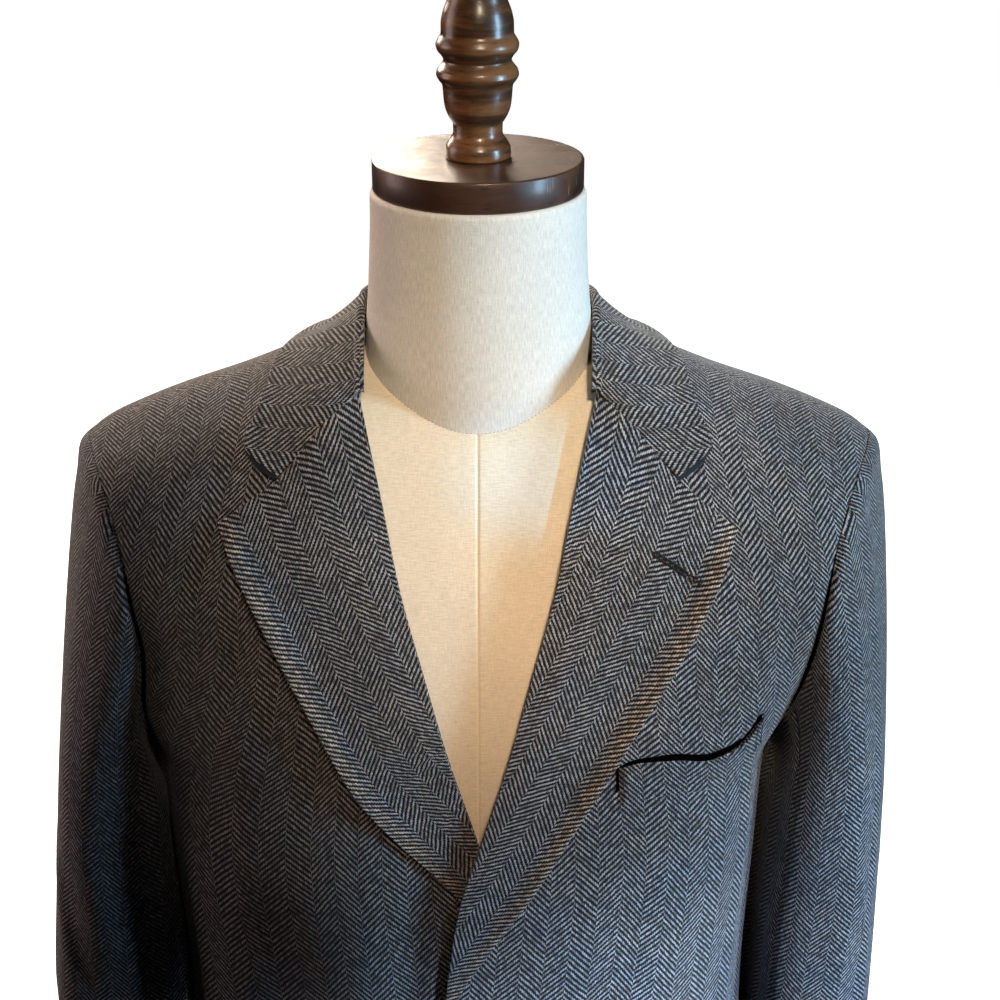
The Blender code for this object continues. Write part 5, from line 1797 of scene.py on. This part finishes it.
def sewPockets(welted):
    # short tacks at both ends of the welt
    left, right = welt["x"]
    rows = []
    for x in (left + 0.0012, left + 0.0042, right - 0.0012, right - 0.0040):
        top = float(weltTop(x))
        rows.append(lineOn(welted, (x, top + 0.0025), (x, top + 0.0235), seamStitch["tackPitch"]))
    length, width = seamStitch["tackLength"], seamStitch["tackWidth"]
    sewRow("welt_tacks", joined(rows), "holeThread", length, width, 0.12, 5)


def sewNeck(body):
    # small stitches where the neck's cover is sewn to the body's
    height, radius = np.array(neck["profile"][1:])[::-1].T
    topZ = neckPoint - cloth - torso["rest"]
    drops = np.linspace(0.0, 0.12, 1200)
    around = np.arange(0, 2 * math.pi, seamStitch["pitch"] / 0.068)
    points = []
    for angle in around:
        side = front if math.cos(angle) > 0 else back
        line = bodyPoint(seamStitch["neckReach"] * math.sin(angle), drops, side, form, topZ)
        near = np.abs(np.hypot(line[:, 0], line[:, 1]) - np.interp(line[:, 2] - capTop, height, radius))
        points.append(line[near.argmin()])
    points, facing = onSurface(body, np.array(points))
    facing = unit(facing + np.stack([np.sin(around), -np.cos(around), np.zeros(len(around))], -1))
    along = unit(np.roll(points, -1, axis=0) - np.roll(points, 1, axis=0))
    row = (points + 0.0002 * facing, along, facing)
    length, width = seamStitch["length"], seamStitch["width"]
    sewRow("neck_seam_stitches", row, "canvasThread", length, width, 0.15, 9, "canvas")


bpy.context.scene.view_settings.view_transform = "Standard"
addCamera()
addLamps()
addSurround()
addFloor()
print("studio ready")

finishes = {
    "tweed": tweedCloth("herringboneTweed"),
    "edgeHighlightTweed": tweedCloth("edgeHighlightTweed", edgeHighlight=True),
    # partly the under collar felt's own colour, partly painted shadow under the collar's end
    "feltAndShade": threadFinish("collarFeltAndShade", (0.013, 0.0155, 0.025)),
    "bodyCanvasPaintedWarm": canvasCloth("bodyCanvasPaintedWarm", canvas["body"], canvas["bodyThreads"]),
    "neckCanvas": canvasCloth("neckCanvas", canvas["neck"], canvas["neckThreads"]),
    "capWood": woodFinish(
        "capWood", (0.038, 0.016, 0.009), (0.105, 0.046, 0.024), 34, (0.16, 1.0, 1.0), rough=0.42, worn=0.9
    ),
    "finialWood": woodFinish(
        "finialWood", (0.050, 0.022, 0.011), (0.240, 0.105, 0.040), 60, (0.30, 0.30, 2.4), rough=0.30
    ),
    "footWood": woodFinish(
        "footWood", (0.055, 0.025, 0.013), (0.150, 0.068, 0.034), 30, (0.18, 1.0, 1.0), rough=0.36
    ),
    "horn": hornFinish(),
    "thread": threadFinish("buttonThread", (0.05, 0.042, 0.038)),
    "holeThread": threadFinish("buttonholeThread", (0.013, 0.012, 0.014)),
    "canvasThread": threadFinish("canvasThread", (0.44, 0.38, 0.30)),
    "lining": liningShadeFinish(),
}
print("finishes ready")

stitchRow = stitchRule()
body = makeTorso()
makeNeck()
makeWood()
sewNeck(body)
print("dress form ready")

overFront = makeFront("front_left", False)
makeFront("front_right", True)
makeBack("back_left", False)
makeBack("back_right", True)
print("fronts and backs ready")

overLapel = makeLapel("lapel_left", leftLapelEdge, False)
makeLapel("lapel_right", rightLapelEdge, True)
makeCollar()
makeNotchFeltAndShade("left", False)
makeNotchFeltAndShade("right", True)
print("lapels and collar ready")

makeSleeve("left", leftSleeve)
makeSleeve("right", rightSleeve)
print("sleeves ready")

makePocketLining()
welted = makePatch("breast_welt", weltGrid(), False, welt["wall"])
for side in ("left", "right"):
    makePatch("flap_" + side, flapGrid(), side == "right")
for label, drop in button["drops"].items():
    makeButton(label, drop)
print("pockets and buttons ready")

sewPockets(welted)
sewButtonhole("lapel_buttonhole", overLapel, buttonhole["lapelTo"], buttonhole["lapelFrom"])
for label, drop in button["drops"].items():
    sewButtonhole("buttonhole_" + label, overFront, *((x, drop) for x in buttonhole["frontX"]))
pick = lineOn(overLapel, *seamStitch["pickEnds"], seamStitch["pickPitch"])
sewRow("lapel_pick_stitches", pick, "holeThread", seamStitch["length"], seamStitch["width"], 0.1, 11)
print("stitches ready")
